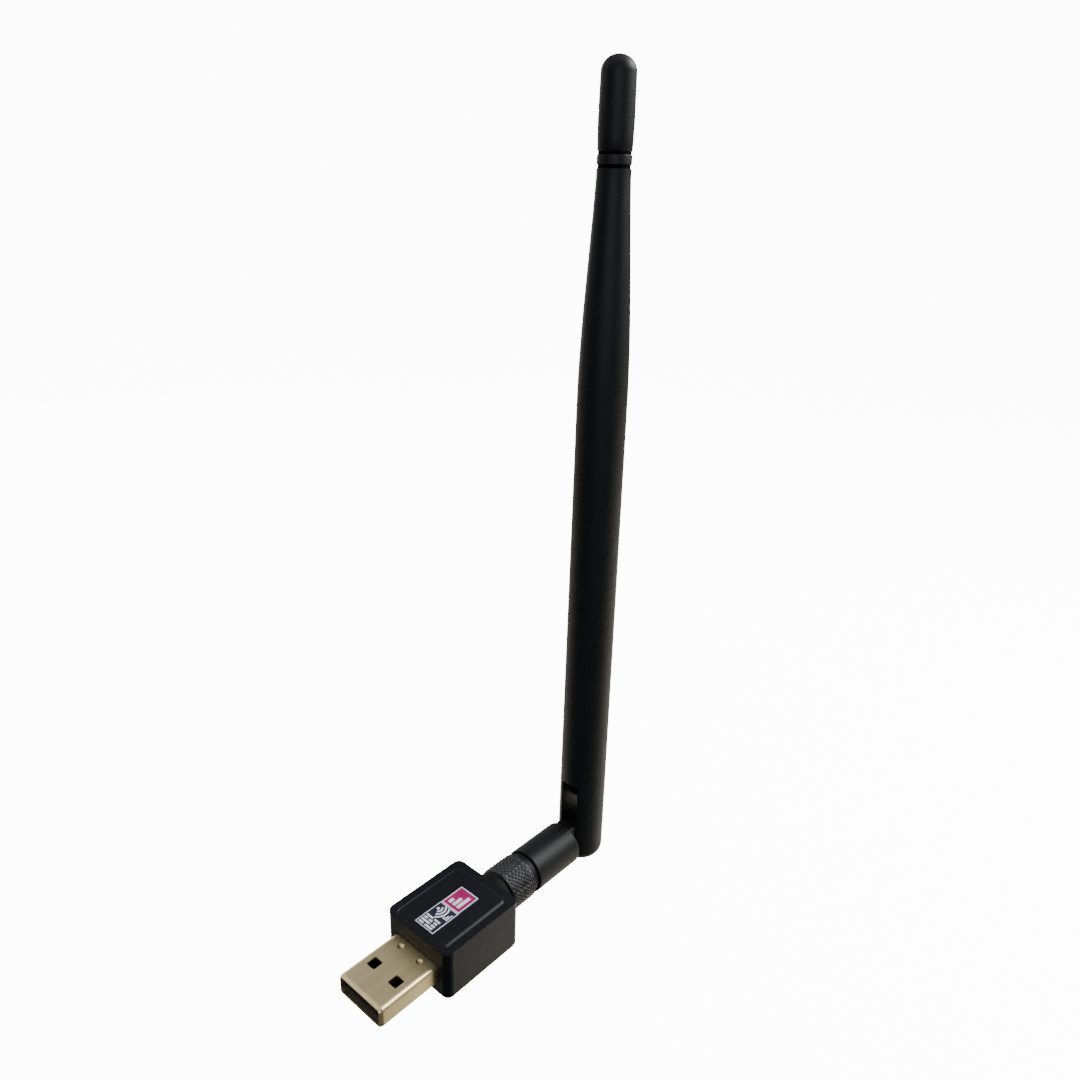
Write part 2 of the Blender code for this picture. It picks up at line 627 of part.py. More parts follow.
def build_blade(hinge):
    """The hollow blade, whose base is a fork of two ears over the barrel's knuckle."""
    step = (BLADE_TAPER_TOP - BLADE_TAPER_START) / BLADE_TAPER_STEPS
    taper = [BLADE_TAPER_START + step * (i + 1) for i in range(BLADE_TAPER_STEPS)]
    half_groove = RING_GROOVE_WIDTH / 2
    groove_radius = BLADE_NECK_RADIUS - RING_GROOVE_DEPTH
    outline = [(-EAR_DEPTH, 0.0)]
    for i in range(EAR_ROUND_STEPS + 1):
        angle = math.radians(90) * i / EAR_ROUND_STEPS
        place = EAR_ROUND * (1 - math.cos(angle)) - EAR_DEPTH
        outline.append((place, BLADE_BASE_RADIUS - EAR_ROUND * (1 - math.sin(angle))))
    outline += [(BLADE_TAPER_START, BLADE_MIDDLE_RADIUS)]
    outline += [(place, blade_radius(place)) for place in taper]
    outline += [
        (RING_GROOVE - half_groove, BLADE_NECK_RADIUS),
        (RING_GROOVE - half_groove / 2, groove_radius),
        (RING_GROOVE + half_groove / 2, groove_radius),
        (RING_GROOVE + half_groove, BLADE_NECK_RADIUS),
        (BLADE_TOP, BLADE_NECK_RADIUS),
        (BLADE_TOP, 0.0),
    ]
    blade = turned("blade", outline, "antenna plastic", hinge)

    wide_bore = BLADE_MIDDLE_RADIUS - BLADE_WALL
    bore = [(FORK_ROOT - OVERRUN, 0.0), (FORK_ROOT - OVERRUN, COAX_CHANNEL), (BORE_START, COAX_CHANNEL)]
    bore += [(BORE_START + BORE_CONE, wide_bore), (BLADE_TAPER_START, wide_bore)]
    bore += [(place, blade_radius(place) - BLADE_WALL) for place in taper[1::2]]
    bore += [(BLADE_TOP + OVERRUN, BLADE_NECK_RADIUS - BLADE_WALL), (BLADE_TOP + OVERRUN, 0.0)]
    boolean(blade, turned("cutter_bore", bore, None, hinge, INNER_ROUND))

    slot = bmesh.new()
    sides = [[slot.verts.new((x, y, z)) for y, z in fork_slot_outline()] for x in (-FORK_HALF, FORK_HALF)]
    skin_rings(slot, sides, closed_loop=False)
    slot.faces.new(sides[0])
    slot.faces.new(sides[1][::-1])
    boolean(blade, finish("cutter_fork_slot", slot, None, hinge))
    start, socket_radius = FORK_HALF - PIN_SOCKET_OVERRUN, PIN_RADIUS + RUNNING_GAP
    boolean(blade, cross_rod("cutter_ear_socket_left", -PIN_REACH, -start, socket_radius, None, hinge))
    boolean(blade, cross_rod("cutter_ear_socket_right", start, PIN_REACH, socket_radius, None, hinge))


def build_tip_cap(hinge):
    """The domed cap, whose spigot plugs the blade's bore."""
    dome_start = BLADE_TIP - CAP_DOME
    base_radius = CAP_RADIUS - CAP_CROWN
    outline = [
        (CAP_START - CAP_SPIGOT_DEPTH, 0.0),
        (CAP_START - CAP_SPIGOT_DEPTH, CAP_SPIGOT_RADIUS),
        (CAP_START, CAP_SPIGOT_RADIUS),
        (CAP_START, base_radius - SEAM_GAP),
        (CAP_START + 2 * SEAM_GAP, base_radius),
        (CAP_START + CAP_CROWN_HEIGHT, CAP_RADIUS + CAP_CROWN),
    ]
    for step in range(6):
        angle = math.radians(15 * step)
        outline.append((dome_start + CAP_DOME * math.sin(angle), base_radius * math.cos(angle)))
    outline.append((BLADE_TIP, 0.0))
    turned("tip_cap", outline, "antenna plastic", hinge)


def build_radiator(hinge):
    """The lead in the blade, the brass sleeve round its end and the copper whip above it."""
    lead_bore, wall_bore = COAX_RADIUS + SNUG_GAP, SLEEVE_RADIUS - SLEEVE_WALL
    crown = SLEEVE_END - SLEEVE_CROWN
    outline = [
        (SLEEVE_START, wall_bore),
        (SLEEVE_START, SLEEVE_RADIUS),
        (SLEEVE_END, SLEEVE_RADIUS),
        (SLEEVE_END, lead_bore),
        (crown, lead_bore),
        (crown, wall_bore),
    ]
    turned("radiator_sleeve", outline, "brass", hinge, INNER_ROUND)
    rod("coax_upper", COAX_GAP, SLEEVE_END - PIN_END_GAP, COAX_RADIUS, "coax jacket", hinge, WIRE_ROUND)

    curve = bpy.data.curves.new("radiator_whip", "CURVE")
    curve.dimensions = "3D"
    curve.bevel_depth = WHIP_RADIUS
    curve.bevel_resolution = 1
    curve.use_fill_caps = True
    points = whip_points()
    spline = curve.splines.new("POLY")
    spline.points.add(len(points) - 1)
    for place, point in zip(points, spline.points):
        point.co = (*place, 1.0)
    curve.materials.append(material("copper"))
    whip = bpy.data.objects.new("radiator_whip", curve)
    whip.parent = hinge
    bpy.context.scene.collection.objects.link(whip)


def whip_points():
    """The whip's centre line: straight, a coil that eases out from the axis and back, then straight again."""
    points = [(0.0, 0.0, WHIP_START)]
    steps = WIRE_ROUND * WHIP_COIL_TURNS
    for step in range(steps + 1):
        part = step / steps
        reach = WHIP_COIL_RADIUS * min(1.0, WHIP_COIL_EASE * part, WHIP_COIL_EASE * (1 - part))
        angle = math.tau * WHIP_COIL_TURNS * part
        height = WHIP_COIL_START + WHIP_COIL_LENGTH * part
        points.append((reach * math.cos(angle), reach * math.sin(angle), height))
    points.append((0.0, 0.0, WHIP_END))
    return points


def main():
    for old in list(bpy.data.objects):
        bpy.data.objects.remove(old)
    for old in list(bpy.data.materials):
        bpy.data.materials.remove(old)

    adapter = empty("adapter", (0.0, 0.0, 0.0))
    along_y = (math.radians(-90), 0.0, 0.0)
    antenna_line = empty("antenna_line", (0.0, 0.0, AXIS_HEIGHT), along_y, adapter)
    hinge = empty("hinge", (0.0, HINGE_Y, AXIS_HEIGHT), parent=adapter)

    build_case_bottom(adapter, antenna_line)
    build_lid(adapter)
    build_plug(adapter)
    build_board(adapter)
    build_jack(adapter, antenna_line)
    build_nut(antenna_line)
    build_connector(antenna_line)
    build_barrel(adapter, antenna_line, hinge)
    build_blade(hinge)
    build_tip_cap(hinge)
    build_radiator(hinge)


main()
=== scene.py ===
"""Looks of the USB wifi adapter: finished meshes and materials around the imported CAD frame.

Lengths are in metres, in the CAD's frame: the plug points to -Y, the antenna is to +Y, and up is +Z.
"""

import json
import math

import bmesh
import bpy
from mathutils import Matrix, Vector


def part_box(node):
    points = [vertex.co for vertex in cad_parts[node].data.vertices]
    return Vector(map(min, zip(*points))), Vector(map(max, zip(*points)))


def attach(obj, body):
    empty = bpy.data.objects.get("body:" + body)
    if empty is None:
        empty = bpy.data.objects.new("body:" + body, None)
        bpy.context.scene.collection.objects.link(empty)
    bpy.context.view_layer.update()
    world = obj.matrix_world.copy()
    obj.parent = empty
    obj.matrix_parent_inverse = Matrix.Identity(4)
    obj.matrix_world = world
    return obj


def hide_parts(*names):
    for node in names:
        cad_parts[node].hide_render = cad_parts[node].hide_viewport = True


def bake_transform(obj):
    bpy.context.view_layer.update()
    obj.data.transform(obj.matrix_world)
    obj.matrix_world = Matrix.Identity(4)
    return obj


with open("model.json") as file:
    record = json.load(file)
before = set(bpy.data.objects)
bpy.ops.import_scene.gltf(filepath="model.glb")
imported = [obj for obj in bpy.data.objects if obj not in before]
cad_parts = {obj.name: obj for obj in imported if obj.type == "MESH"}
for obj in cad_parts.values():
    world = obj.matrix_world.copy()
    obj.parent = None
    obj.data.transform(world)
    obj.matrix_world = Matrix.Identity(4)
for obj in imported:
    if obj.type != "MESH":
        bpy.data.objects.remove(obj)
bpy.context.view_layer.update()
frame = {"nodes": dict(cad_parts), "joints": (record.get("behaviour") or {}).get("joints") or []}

JOINTS = {joint["name"]: joint for joint in frame["joints"]}
HINGE = Vector(JOINTS["blade_fold"]["pos_m"])
AXIS_HEIGHT = HINGE.z

CASE_LOW, CASE_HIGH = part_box("case_bottom")
LID_LOW, LID_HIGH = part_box("case_lid")
PLUG_LOW, PLUG_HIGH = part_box("usb_shell")
TONGUE_LOW, TONGUE_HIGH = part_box("usb_tongue")
JACK_LOW, JACK_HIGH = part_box("antenna_jack")
COLLAR_LOW, COLLAR_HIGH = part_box("jack_collar")
NUT_LOW, NUT_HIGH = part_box("coupling_nut")
FERRULE_LOW, FERRULE_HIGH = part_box("connector_ferrule")
BARREL_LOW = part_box("barrel")[0]
BLADE_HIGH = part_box("blade")[1]
CAP_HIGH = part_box("tip_cap")[1]
LABEL_LOW, LABEL_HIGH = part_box("label")

QUARTER = math.radians(90)
ROUND = 128
CUT_MARGIN = 0.001
MIN_CORNER = 0.0002

# Case
CASE_CORNER = 0.0016
CASE_EDGE = 0.0010
CASE_WALL = 0.0012
SEAM_GAP = 0.00003
SEAM_EDGE = 0.00002
OPENING_GAP = 0.00012
OPENING_DEPTH = 0.002
LEAD_IN_DEPTH = 0.0001
LEAD_IN_FLARE = 0.0002
JACK_HOLE_DEPTH = 0.0018
LID_ROUND = 0.00012
LIP_WIDTH = 0.0008
LID_HOLLOW = 0.0003
PANEL_HEIGHT = 0.00030
PANEL_HALF_WIDTH = 0.0071
PANEL_FRONT = 0.0003
PANEL_BACK = 0.0178
PANEL_CORNER = 0.0016
PANEL_SLOPE = 0.00080
PANEL_ROOT = 0.0003
PANEL_SINK = 0.00001

# Label
LABEL_CORNER = 0.0004
FILM_EDGE = 0.00003
INK_SINK = 0.00001
INK_LAYER = 0.000012
BLOCK_START = 0.54
BLOCK_MARGIN = 0.00022
BLOCK_FRAME_WIDTH = 0.00022
BLOCK_FRAME_GAP = 0.0001
FRAME_MARGIN = 0.00012
FRAME_WIDTH = 0.00016
WAVES_X, WAVES_Y = 0.0011, 0.0052
WAVE_START, WAVE_SPACING, WAVE_WIDTH = 0.0006, 0.0007, 0.00036
WAVE_HALF_ANGLE = 62
DOT_INNER, DOT_RADIUS = 0.00002, 0.00032
ROW_X, ROW_Y = 0.00058, 0.00055
ROW_SPACING, ROW_WIDTH, ROW_GAP = 0.00068, 0.00042, 0.00040
ROW_LENGTHS = ((0.0012, 0.0020), (0.0022, 0.0010), (0.0009, 0.0009, 0.0009), (0.0017, 0.0015))
STEPS_X, STEPS_Y = 0.0017, 0.0040
STEPS_SPACING, STEPS_WIDTH, STEPS_HEIGHT = 0.00044, 0.00026, 0.0006
SIGNAL_X, SIGNAL_Y = 0.00105, 0.0010
SIGNAL_SPACING, SIGNAL_WIDTH = 0.00112, 0.00074
SIGNAL_LOWEST, SIGNAL_RISE = 0.0012, 0.0011

# Plug
PLUG_WALL = 0.0003
PLUG_CORNER = 0.0009
PLUG_LIP = 0.0003
PLUG_LIP_LENGTH = 0.0009
PLUG_SEAM_HALF = 0.00003
PLUG_SEAM_DEPTH = 0.00012
LATCH_HOLE = 0.0022
LATCH_HOLE_SPACING = 0.00614
LATCH_HOLE_Y = -0.00745
LATCH_HOLE_REACH = 0.004
DIMPLE_X = 0.00266
DIMPLE_Y = -0.00157
DIMPLE_RADIUS = 0.00066
DIMPLE_DEPTH = 0.00028
TONGUE_EDGE = 0.00018
CONTACT_EDGE = 0.00005
SLOT_SIDE_GAP = 0.0001
SLOT_END_GAP = 0.0002
SLOT_DEPTH = 0.00012
SLOT_BACK, SLOT_TOP = 0.01, 0.001

# Jack and collar
THREAD_PITCH = 0.0254 / 36
THREAD_RADIUS = 0.00317
THREAD_DEPTH = 0.00035
THREAD_START = 0.0184
THREAD_STEEPNESS = 1.25
THREAD_FADE_OUT = 0.7
JACK_SHOULDER = 0.0170
JACK_BORE = 0.0021
FLANGE_HALF = 0.0033
FLANGE_START = 0.0031
FLANGE_END = 0.0041
FLANGE_EDGE = 0.00015
FLANGE_HOLE_GAP = 0.00005
FLANGE_HOLE_START, FLANGE_HOLE_END = 0.01, 0.02
LEG_X = 0.0028
LEG_HALF = 0.0004
LEG_LENGTH = 0.0034
LEG_EDGE = 0.0001
LEG_SPANS = ((0.0002, 0.0011), (-0.0019, -0.0010))

# Nut
NUT_RADIUS = (NUT_HIGH.x - NUT_LOW.x) / 2
NUT_BORE = 0.0033
NUT_CHAMFER = 0.0003
NUT_LIP = 0.0011
NUT_LIP_BORE = 0.00262
NUT_LIP_CHAMFER = 0.0001
NUT_RIM = 0.0005
NUT_RIM_STEPS = ((0.00040, 0.00010), (0.00028, 0.00013), (0.00005, 0.00042), (0.0, 0.00050))
KNURLS = 60
KNURL_ROWS = 12
KNURL_DEPTH = 0.00021
KNURL_STEPS = 6
KNURL_STEEPNESS = 1.15

# Connector
FERRULE_BORE = 0.0014
FERRULE_TUBE = 0.0020
FERRULE_RADIUS = 0.0025
SHOULDER_START, SHOULDER_END, SHOULDER_RADIUS = 0.02705, 0.02775, 0.0030
RING_SEAT_START, RING_SEAT_END, RING_SEAT_RADIUS = 0.03335, 0.03395, 0.0022

# Barrel and hinge
BARREL_RADIUS = 0.00477
BARREL_NECK_RADIUS = 0.0042
BARREL_SHOULDER = 0.03035
BARREL_END = 0.0432
BARREL_BORE = 0.00256
BARREL_ROOM_START, BARREL_ROOM_END, BARREL_ROOM_RADIUS = 0.0330, 0.0365, 0.0034
KNUCKLE_HALF = 0.0020
KNUCKLE_RADIUS = 0.0045
KNUCKLE_EDGE = 0.0003
KNUCKLE_OVERLAP = 0.0012
COAX_RADIUS = 0.00065
COAX_CHANNEL = 0.0008
CHANNEL_START, CHANNEL_END = 0.0355, 0.0478
BEND_ROOM_FRONT, BEND_ROOM_REACH = 0.0024, 0.0060
PIN_RADIUS = 0.00106
PIN_GRIP = 0.00003
PIN_REACH = 0.0040
PIN_HOLE_REACH = 0.003

# Blade. Places are up from the hinge.
FORK_HALF = 0.00215
FORK_ROOT = 0.0090
FORK_REACH = 0.007
RUN_OUT_RADIUS = 0.0075
RUN_OUT_SETBACK = 0.0080
RUN_OUT_HEIGHT = 0.0080
EAR_DEPTH = 0.00535
EAR_ROUND = 0.0026
BLADE_BASE_RADIUS = 0.0050
BLADE_MIDDLE_RADIUS = 0.0048
BLADE_NECK_RADIUS = 0.00305
BLADE_STEP = 0.007
BLADE_TAPER_START = 0.0980
BLADE_TAPER_TOP = 0.1380
BLADE_TAPER_END = 0.1520
BLADE_TAPER_STEP = 0.001
BLADE_TOP = BLADE_HIGH.z - AXIS_HEIGHT
BLADE_TOP_ROUND = 0.00015
BLADE_WALL = 0.0012
BORE_START = 0.0155
BORE_CONE = 0.0006
BORE_EASE_LENGTH, BORE_EASE = 0.01, 0.0003
BORE_NECK_RADIUS = 0.0019
BORE_TOP_RADIUS = 0.0018
RING_GROOVE = 0.1399
RING_GROOVE_WIDTH = 0.0007
RING_GROOVE_DEPTH = 0.00022
RING_GROOVE_FULLNESS = 0.7
GROOVE_SHADE_DEPTH = 0.00006

# Cap. Its profile is (place from the cap's start, radius added to the cap's).
CAP_START = 0.1423
CAP_RADIUS = 0.0031
CAP_SEAM_RADIUS = 0.0029
CAP_SEAM_GAP = 0.00006
CAP_TIP = CAP_HIGH.z - AXIS_HEIGHT
CAP_DOME = 0.0027
CAP_DOME_INSET = 0.00005
CAP_PROFILE = (
    (0.0, -0.0002), (0.00005, -0.00012), (0.00018, -0.00006), (0.002, 0.0), (0.005, 0.00005), (0.009, 0.0)
)
CAP_SHADE_END = 0.00002
SPIGOT_LENGTH = 0.005
SPIGOT_RADIUS = 0.0016

# Lead
LEAD_START = 0.0348
LEAD_TOP = 0.0788
LEAD_BEND = 0.0022
LEAD_SIDES = 20

# Stage. The floor as the object reflects it carries painted shade in front, where the object's shadow falls, and
# painted light behind. The two places are measured from the object's middle along FLOOR_WAY, towards the back
# left.
WHITE = (1.0, 1.0, 1.0, 1.0)
GLOW = 12.0
FLOOR_HALF = 3.0
FLOOR_GAP = 0.002
FLOOR_PAINT = (0.9, 0.9, 0.9, 1.0)
FLOOR_PAINTED_SHADE = (0.05, 0.05, 0.05, 1.0)
FLOOR_PAINTED_LIGHT = (0.97, 0.91, 0.74, 1.0)
FLOOR_WAY = (-0.5, 0.87, 0.0)
FLOOR_PAINTED_SHADE_PLACE = -0.05
FLOOR_PAINTED_LIGHT_PLACE = 0.09
SURROUND_LIGHT = (0.80, 0.87, 1.0, 1.0)
SURROUND_STRENGTH = 0.10
LIGHT_AT = (0.0, 0.02, 0.02)
LIGHT_AT_BLADE = (0.0, 0.05, 0.13)

# Camera
CAMERA_PLACE = (0.1008, -0.0826, 0.1369)
CAMERA_TARGET = (-0.0146, 0.0492, 0.0679)
CAMERA_ROLL = math.radians(1.53)
CAMERA_LENS = 29.68
CAMERA_SENSOR = 36.0
CAMERA_CLIP = 0.005


# Materials

# The colour sockets of a Mix node
MIX_A, MIX_B, MIX_RESULT = 6, 7, 2
FINE_SHARE = 0.35
NOISE_LOW, NOISE_HIGH = 0.36, 0.64
EDGE_START, EDGE_FULL = 0.52, 0.60


def node(tree, kind, inputs=(), **settings):
    """Adds a node, sets its properties, and fills or links its inputs by name or number."""
    made = tree.nodes.new(kind)
    for key, value in settings.items():
        setattr(made, key, value)
    for key, value in dict(inputs).items():
        if isinstance(value, bpy.types.NodeSocket):
            tree.links.new(value, made.inputs[key])
        else:
            made.inputs[key].default_value = value
    return made


def mix_colours(tree, factor, first, second):
    """The colour between two others, each a socket or a value."""
    inputs = {"Factor": factor, MIX_A: first, MIX_B: second}
    return node(tree, "ShaderNodeMix", inputs, data_type="RGBA").outputs[MIX_RESULT]


def surface(
    name,
    colours,
    rough,
    metallic=0.0,
    blotch=300.0,
    grain=7000.0,
    relief=0.000004,
    stretch=(1.0, 1.0, 1.0),
    edge=None,
    specular=0.5,
    coat=0.0,
):
    """A procedural finish: two colours and a roughness range mixed by soft blotches and a fine grain.

    blotch and grain are noise scales per metre, relief is the grain's height in metres, stretch draws both
    out along an axis, and edge is the colour that convex edges wear to with its strength.
    """
    made = bpy.data.materials.new(name)
    made.use_nodes = True
    tree = made.node_tree
    shader = tree.nodes["Principled BSDF"]
    shader.inputs["Metallic"].default_value = metallic
    shader.inputs["Specular IOR Level"].default_value = specular
    shader.inputs["Coat Weight"].default_value = coat
    place = node(tree, "ShaderNodeTexCoord").outputs["Object"]
    drawn = node(tree, "ShaderNodeMapping", {"Vector": place, "Scale": stretch}).outputs["Vector"]
    blotches = {"Vector": drawn, "Scale": blotch, "Detail": 4.0, "Roughness": 0.6}
    soft = node(tree, "ShaderNodeTexNoise", blotches).outputs["Fac"]
    grains = {"Vector": drawn, "Scale": grain, "Detail": 3.0, "Roughness": 0.55}
    fine = node(tree, "ShaderNodeTexNoise", grains).outputs["Fac"]
    both = node(tree, "ShaderNodeMix", {"Factor": FINE_SHARE, "A": soft, "B": fine}, data_type="FLOAT")
    noise = {"Value": both.outputs["Result"], "From Min": NOISE_LOW, "From Max": NOISE_HIGH}
    spread = node(tree, "ShaderNodeMapRange", noise).outputs["Result"]
    ramp = node(tree, "ShaderNodeValToRGB", {"Fac": spread})
    for stop, colour in zip(ramp.color_ramp.elements, colours):
        stop.color = (*colour, 1.0)
    colour = ramp.outputs["Color"]
    if edge:
        worn_colour, strength = edge
        pointed = node(tree, "ShaderNodeNewGeometry").outputs["Pointiness"]
        wear = {"Value": pointed, "From Min": EDGE_START, "From Max": EDGE_FULL, "To Max": strength}
        sharp = node(tree, "ShaderNodeMapRange", wear).outputs["Result"]
        colour = mix_colours(tree, sharp, colour, (*worn_colour, 1.0))
    tree.links.new(colour, shader.inputs["Base Color"])
    roughness = node(tree, "ShaderNodeMapRange", {"Value": spread, "To Min": rough[0], "To Max": rough[1]})
    tree.links.new(roughness.outputs["Result"], shader.inputs["Roughness"])
    bump = node(tree, "ShaderNodeBump", {"Height": fine, "Distance": relief, "Strength": 1.0})
    tree.links.new(bump.outputs["Normal"], shader.inputs["Normal"])
    return made


ALONG_Y = (1.0, 0.06, 1.0)
ROUND_Y = (0.15, 1.0, 0.15)

CASE_PLASTIC = surface(
    "case plastic",
    ((0.0050, 0.0053, 0.0074), (0.0060, 0.0063, 0.0086)),
    (0.36, 0.42),
    relief=0.0000016,
    specular=0.155,
)
ANTENNA_PLASTIC = surface(
    "antenna plastic",
    ((0.0062, 0.0064, 0.0072), (0.0080, 0.0082, 0.0092)),
    (0.46, 0.52),
    blotch=180.0,
    grain=5000.0,
    relief=0.000002,
    specular=0.19,
)
# Painted shade: a near-black, matt finish for the faces inside the antenna's ring groove and cap seam, standing
# in for the shade there.
GROOVE_PAINTED_SHADE = surface(
    "groove painted shade", ((0.002, 0.002, 0.002), (0.004, 0.004, 0.004)), (0.8, 0.9), specular=0.04
)
RUBBER = surface(
    "black rubber", ((0.003, 0.003, 0.003), (0.006, 0.006, 0.006)), (0.6, 0.75), relief=0.00001, specular=0.12
)
PLUG_GOLD = surface(
    "pale gold plating",
    ((0.88, 0.71, 0.38), (0.93, 0.77, 0.44)),
    (0.33, 0.38),
    metallic=1.0,
    blotch=500.0,
    grain=12000.0,
    relief=0.0000005,
    stretch=ALONG_Y,
)
CONTACT_GOLD = surface(
    "contact gold",
    ((0.80, 0.56, 0.22), (0.90, 0.66, 0.29)),
    (0.2, 0.3),
    metallic=1.0,
    grain=14000.0,
    relief=0.000001,
    stretch=ALONG_Y,
)
BRASS = surface(
    "brass",
    ((0.66, 0.48, 0.22), (0.80, 0.61, 0.30)),
    (0.2, 0.34),
    metallic=1.0,
    grain=12000.0,
    relief=0.000003,
    stretch=ROUND_Y,
)
COPPER = surface(
    "copper", ((0.66, 0.30, 0.18), (0.80, 0.40, 0.25)), (0.25, 0.38), metallic=1.0, relief=0.000002
)
STEEL = surface(
    "steel", ((0.42, 0.42, 0.43), (0.56, 0.56, 0.57)), (0.24, 0.36), metallic=1.0, relief=0.000002
)
BLACK_NICKEL = surface(
    "black nickel",
    ((0.034, 0.035, 0.037), (0.066, 0.066, 0.070)),
    (0.40, 0.50),
    metallic=1.0,
    blotch=900.0,
    grain=20000.0,
    relief=0.000002,
    edge=((0.42, 0.42, 0.44), 0.35),
)
PTFE = surface("white ptfe", ((0.74, 0.74, 0.71), (0.84, 0.84, 0.82)), (0.45, 0.6), relief=0.000004)
TONGUE_PLASTIC = surface(
    "tongue plastic", ((0.008, 0.008, 0.009), (0.014, 0.014, 0.015)), (0.36, 0.48), specular=0.2
)
COAX_JACKET = surface("coax jacket", ((0.008, 0.0078, 0.0075), (0.014, 0.0135, 0.013)), (0.4, 0.5))
BOARD_GREEN = surface(
    "board green", ((0.008, 0.075, 0.028), (0.02, 0.14, 0.055)), (0.25, 0.4), blotch=2200.0, relief=0.000008
)
CHIP_BLACK = surface("chip black", ((0.015, 0.015, 0.016), (0.03, 0.03, 0.032)), (0.5, 0.65), relief=0.00001)
CERAMIC = surface(
    "capacitor ceramic", ((0.30, 0.20, 0.12), (0.42, 0.30, 0.19)), (0.4, 0.55), relief=0.000006
)
LED_LENS = surface("led lens", ((0.70, 0.64, 0.34), (0.84, 0.78, 0.50)), (0.12, 0.2), coat=0.5)
LABEL_FILM = surface(
    "label film", ((0.012, 0.013, 0.028), (0.018, 0.020, 0.040)), (0.34, 0.42), relief=0.000002, specular=0.2
)
PRINT_MAGENTA = surface(
    "magenta print",
    ((0.25, 0.008, 0.088), (0.31, 0.014, 0.115)),
    (0.36, 0.46),
    grain=9000.0,
    relief=0.000002,
    specular=0.2,
)
PRINT_WHITE = surface(
    "white print", ((0.62, 0.63, 0.70), (0.78, 0.79, 0.84)), (0.3, 0.4), relief=0.000002, coat=0.2
)


# Mesh helpers

MERGE = 1e-7
SHARP_ANGLE = 35


def mesh_object(name, shape):
    """Turns a bmesh in the row frame into an object."""
    bmesh.ops.remove_doubles(shape, verts=shape.verts, dist=MERGE)
    bmesh.ops.recalc_face_normals(shape, faces=shape.faces)
    mesh = bpy.data.meshes.new(name)
    shape.to_mesh(mesh)
    shape.free()
    made = bpy.data.objects.new(name, mesh)
    bpy.context.scene.collection.objects.link(made)
    return made


def helper(shape):
    """An object that is cut from, joined to, or finished later."""
    return mesh_object("helper", shape)


def dress(made, finish, body, replaced=(), angle=SHARP_ANGLE):
    """Gives an object its finish and shading, parents it to the body it rides on, and hides the CAD parts it
    stands for.
    """
    made.data.materials.clear()
    made.data.materials.append(finish)
    made.data.shade_smooth()
    made.data.set_sharp_from_angle(angle=math.radians(angle))
    weighted = made.modifiers.new("even shading", "WEIGHTED_NORMAL")
    weighted.keep_sharp = True
    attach(made, body)
    if replaced:
        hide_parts(*replaced)
    return made


def piece(name, shape, finish, body, replaced=(), angle=SHARP_ANGLE):
    """Turns a bmesh in the row frame into a finished piece that rides on a body."""
    return dress(mesh_object(name, shape), finish, body, replaced, angle)


def paint_groove_shade(made, spans, radius):
    """Paints shade into turned grooves: their faces get a near-black, matt finish that stands in for the shade
    inside them. A span is (low, high) up from the hinge.
    """
    made.data.materials.append(GROOVE_PAINTED_SHADE)
    for face in made.data.polygons:
        place = face.center - HINGE
        in_span = any(low < place.z < high for low, high in spans)
        if in_span and math.hypot(place.x, place.y) < radius:
            face.material_index = 1


def boolean(target, others, operation="DIFFERENCE"):
    """Cuts or joins helpers into a piece, applies it and removes them."""
    for other in others:
        modifier = target.modifiers.new("cut", "BOOLEAN")
        modifier.operation = operation
        modifier.object = other
    graph = bpy.context.evaluated_depsgraph_get()
    mesh = bpy.data.meshes.new_from_object(target.evaluated_get(graph))
    target.modifiers.clear()
    target.data = mesh
    for other in others:
        bpy.data.objects.remove(other)
    return target


def skin(shape, rings, loop=False, caps=False):
    """Joins rings of vertices with quads. A ring of one vertex is a pole."""
    pairs = list(zip(rings, rings[1:]))
    if loop:
        pairs.append((rings[-1], rings[0]))
    for first, second in pairs:
        count = max(len(first), len(second))
        for i in range(count):
            j = (i + 1) % count
            if len(first) == 1:
                shape.faces.new((first[0], second[j], second[i]))
            elif len(second) == 1:
                shape.faces.new((first[i], first[j], second[0]))
            else:
                shape.faces.new((first[i], first[j], second[j], second[i]))
    if caps:
        shape.faces.new(rings[0][::-1])
        shape.faces.new(rings[-1])


def eased(outline, loop=True, steps=5):
    """Rounds the corners of an outline. Each point is (place, radius, rounding)."""
    points = []
    count = len(outline)
    for i, (place, radius, rounding) in enumerate(outline):
        here = Vector((place, radius))
        if not rounding or (not loop and i in (0, count - 1)):
            points.append((place, radius))
            continue
        before = (Vector(outline[i - 1][:2]) - here).normalized()
        after = (Vector(outline[(i + 1) % count][:2]) - here).normalized()
        half_turn = before.angle(after) / 2
        start, end = here + before * rounding, here + after * rounding
        centre = here + (before + after).normalized() * (rounding / math.cos(half_turn))
        spoke_start, spoke_end = start - centre, end - centre
        sweep = spoke_start.angle_signed(spoke_end)
        for step in range(steps + 1):
            turn = Matrix.Rotation(-sweep * step / steps, 2)
            points.append(tuple(centre + turn @ spoke_start))
    return points


def frame_y(place, radius, angle):
    """A point round the antenna connector's axis: place along +Y, angle from +X towards +Z."""
    return Vector((radius * math.cos(angle), place, AXIS_HEIGHT + radius * math.sin(angle)))


def frame_blade(place, radius, angle):
    """A point round the blade's axis: place up from the hinge."""
    return HINGE + Vector((radius * math.cos(angle), radius * math.sin(angle), place))


def frame_hinge(place, radius, angle):
    """A point round the hinge's axis: place along +X."""
    return HINGE + Vector((place, radius * math.cos(angle), radius * math.sin(angle)))


def turned_ring(shape, where, place, radius, segments=ROUND):
    """A ring of vertices round an axis."""
    return [shape.verts.new(where(place, radius, math.tau * i / segments)) for i in range(segments)]


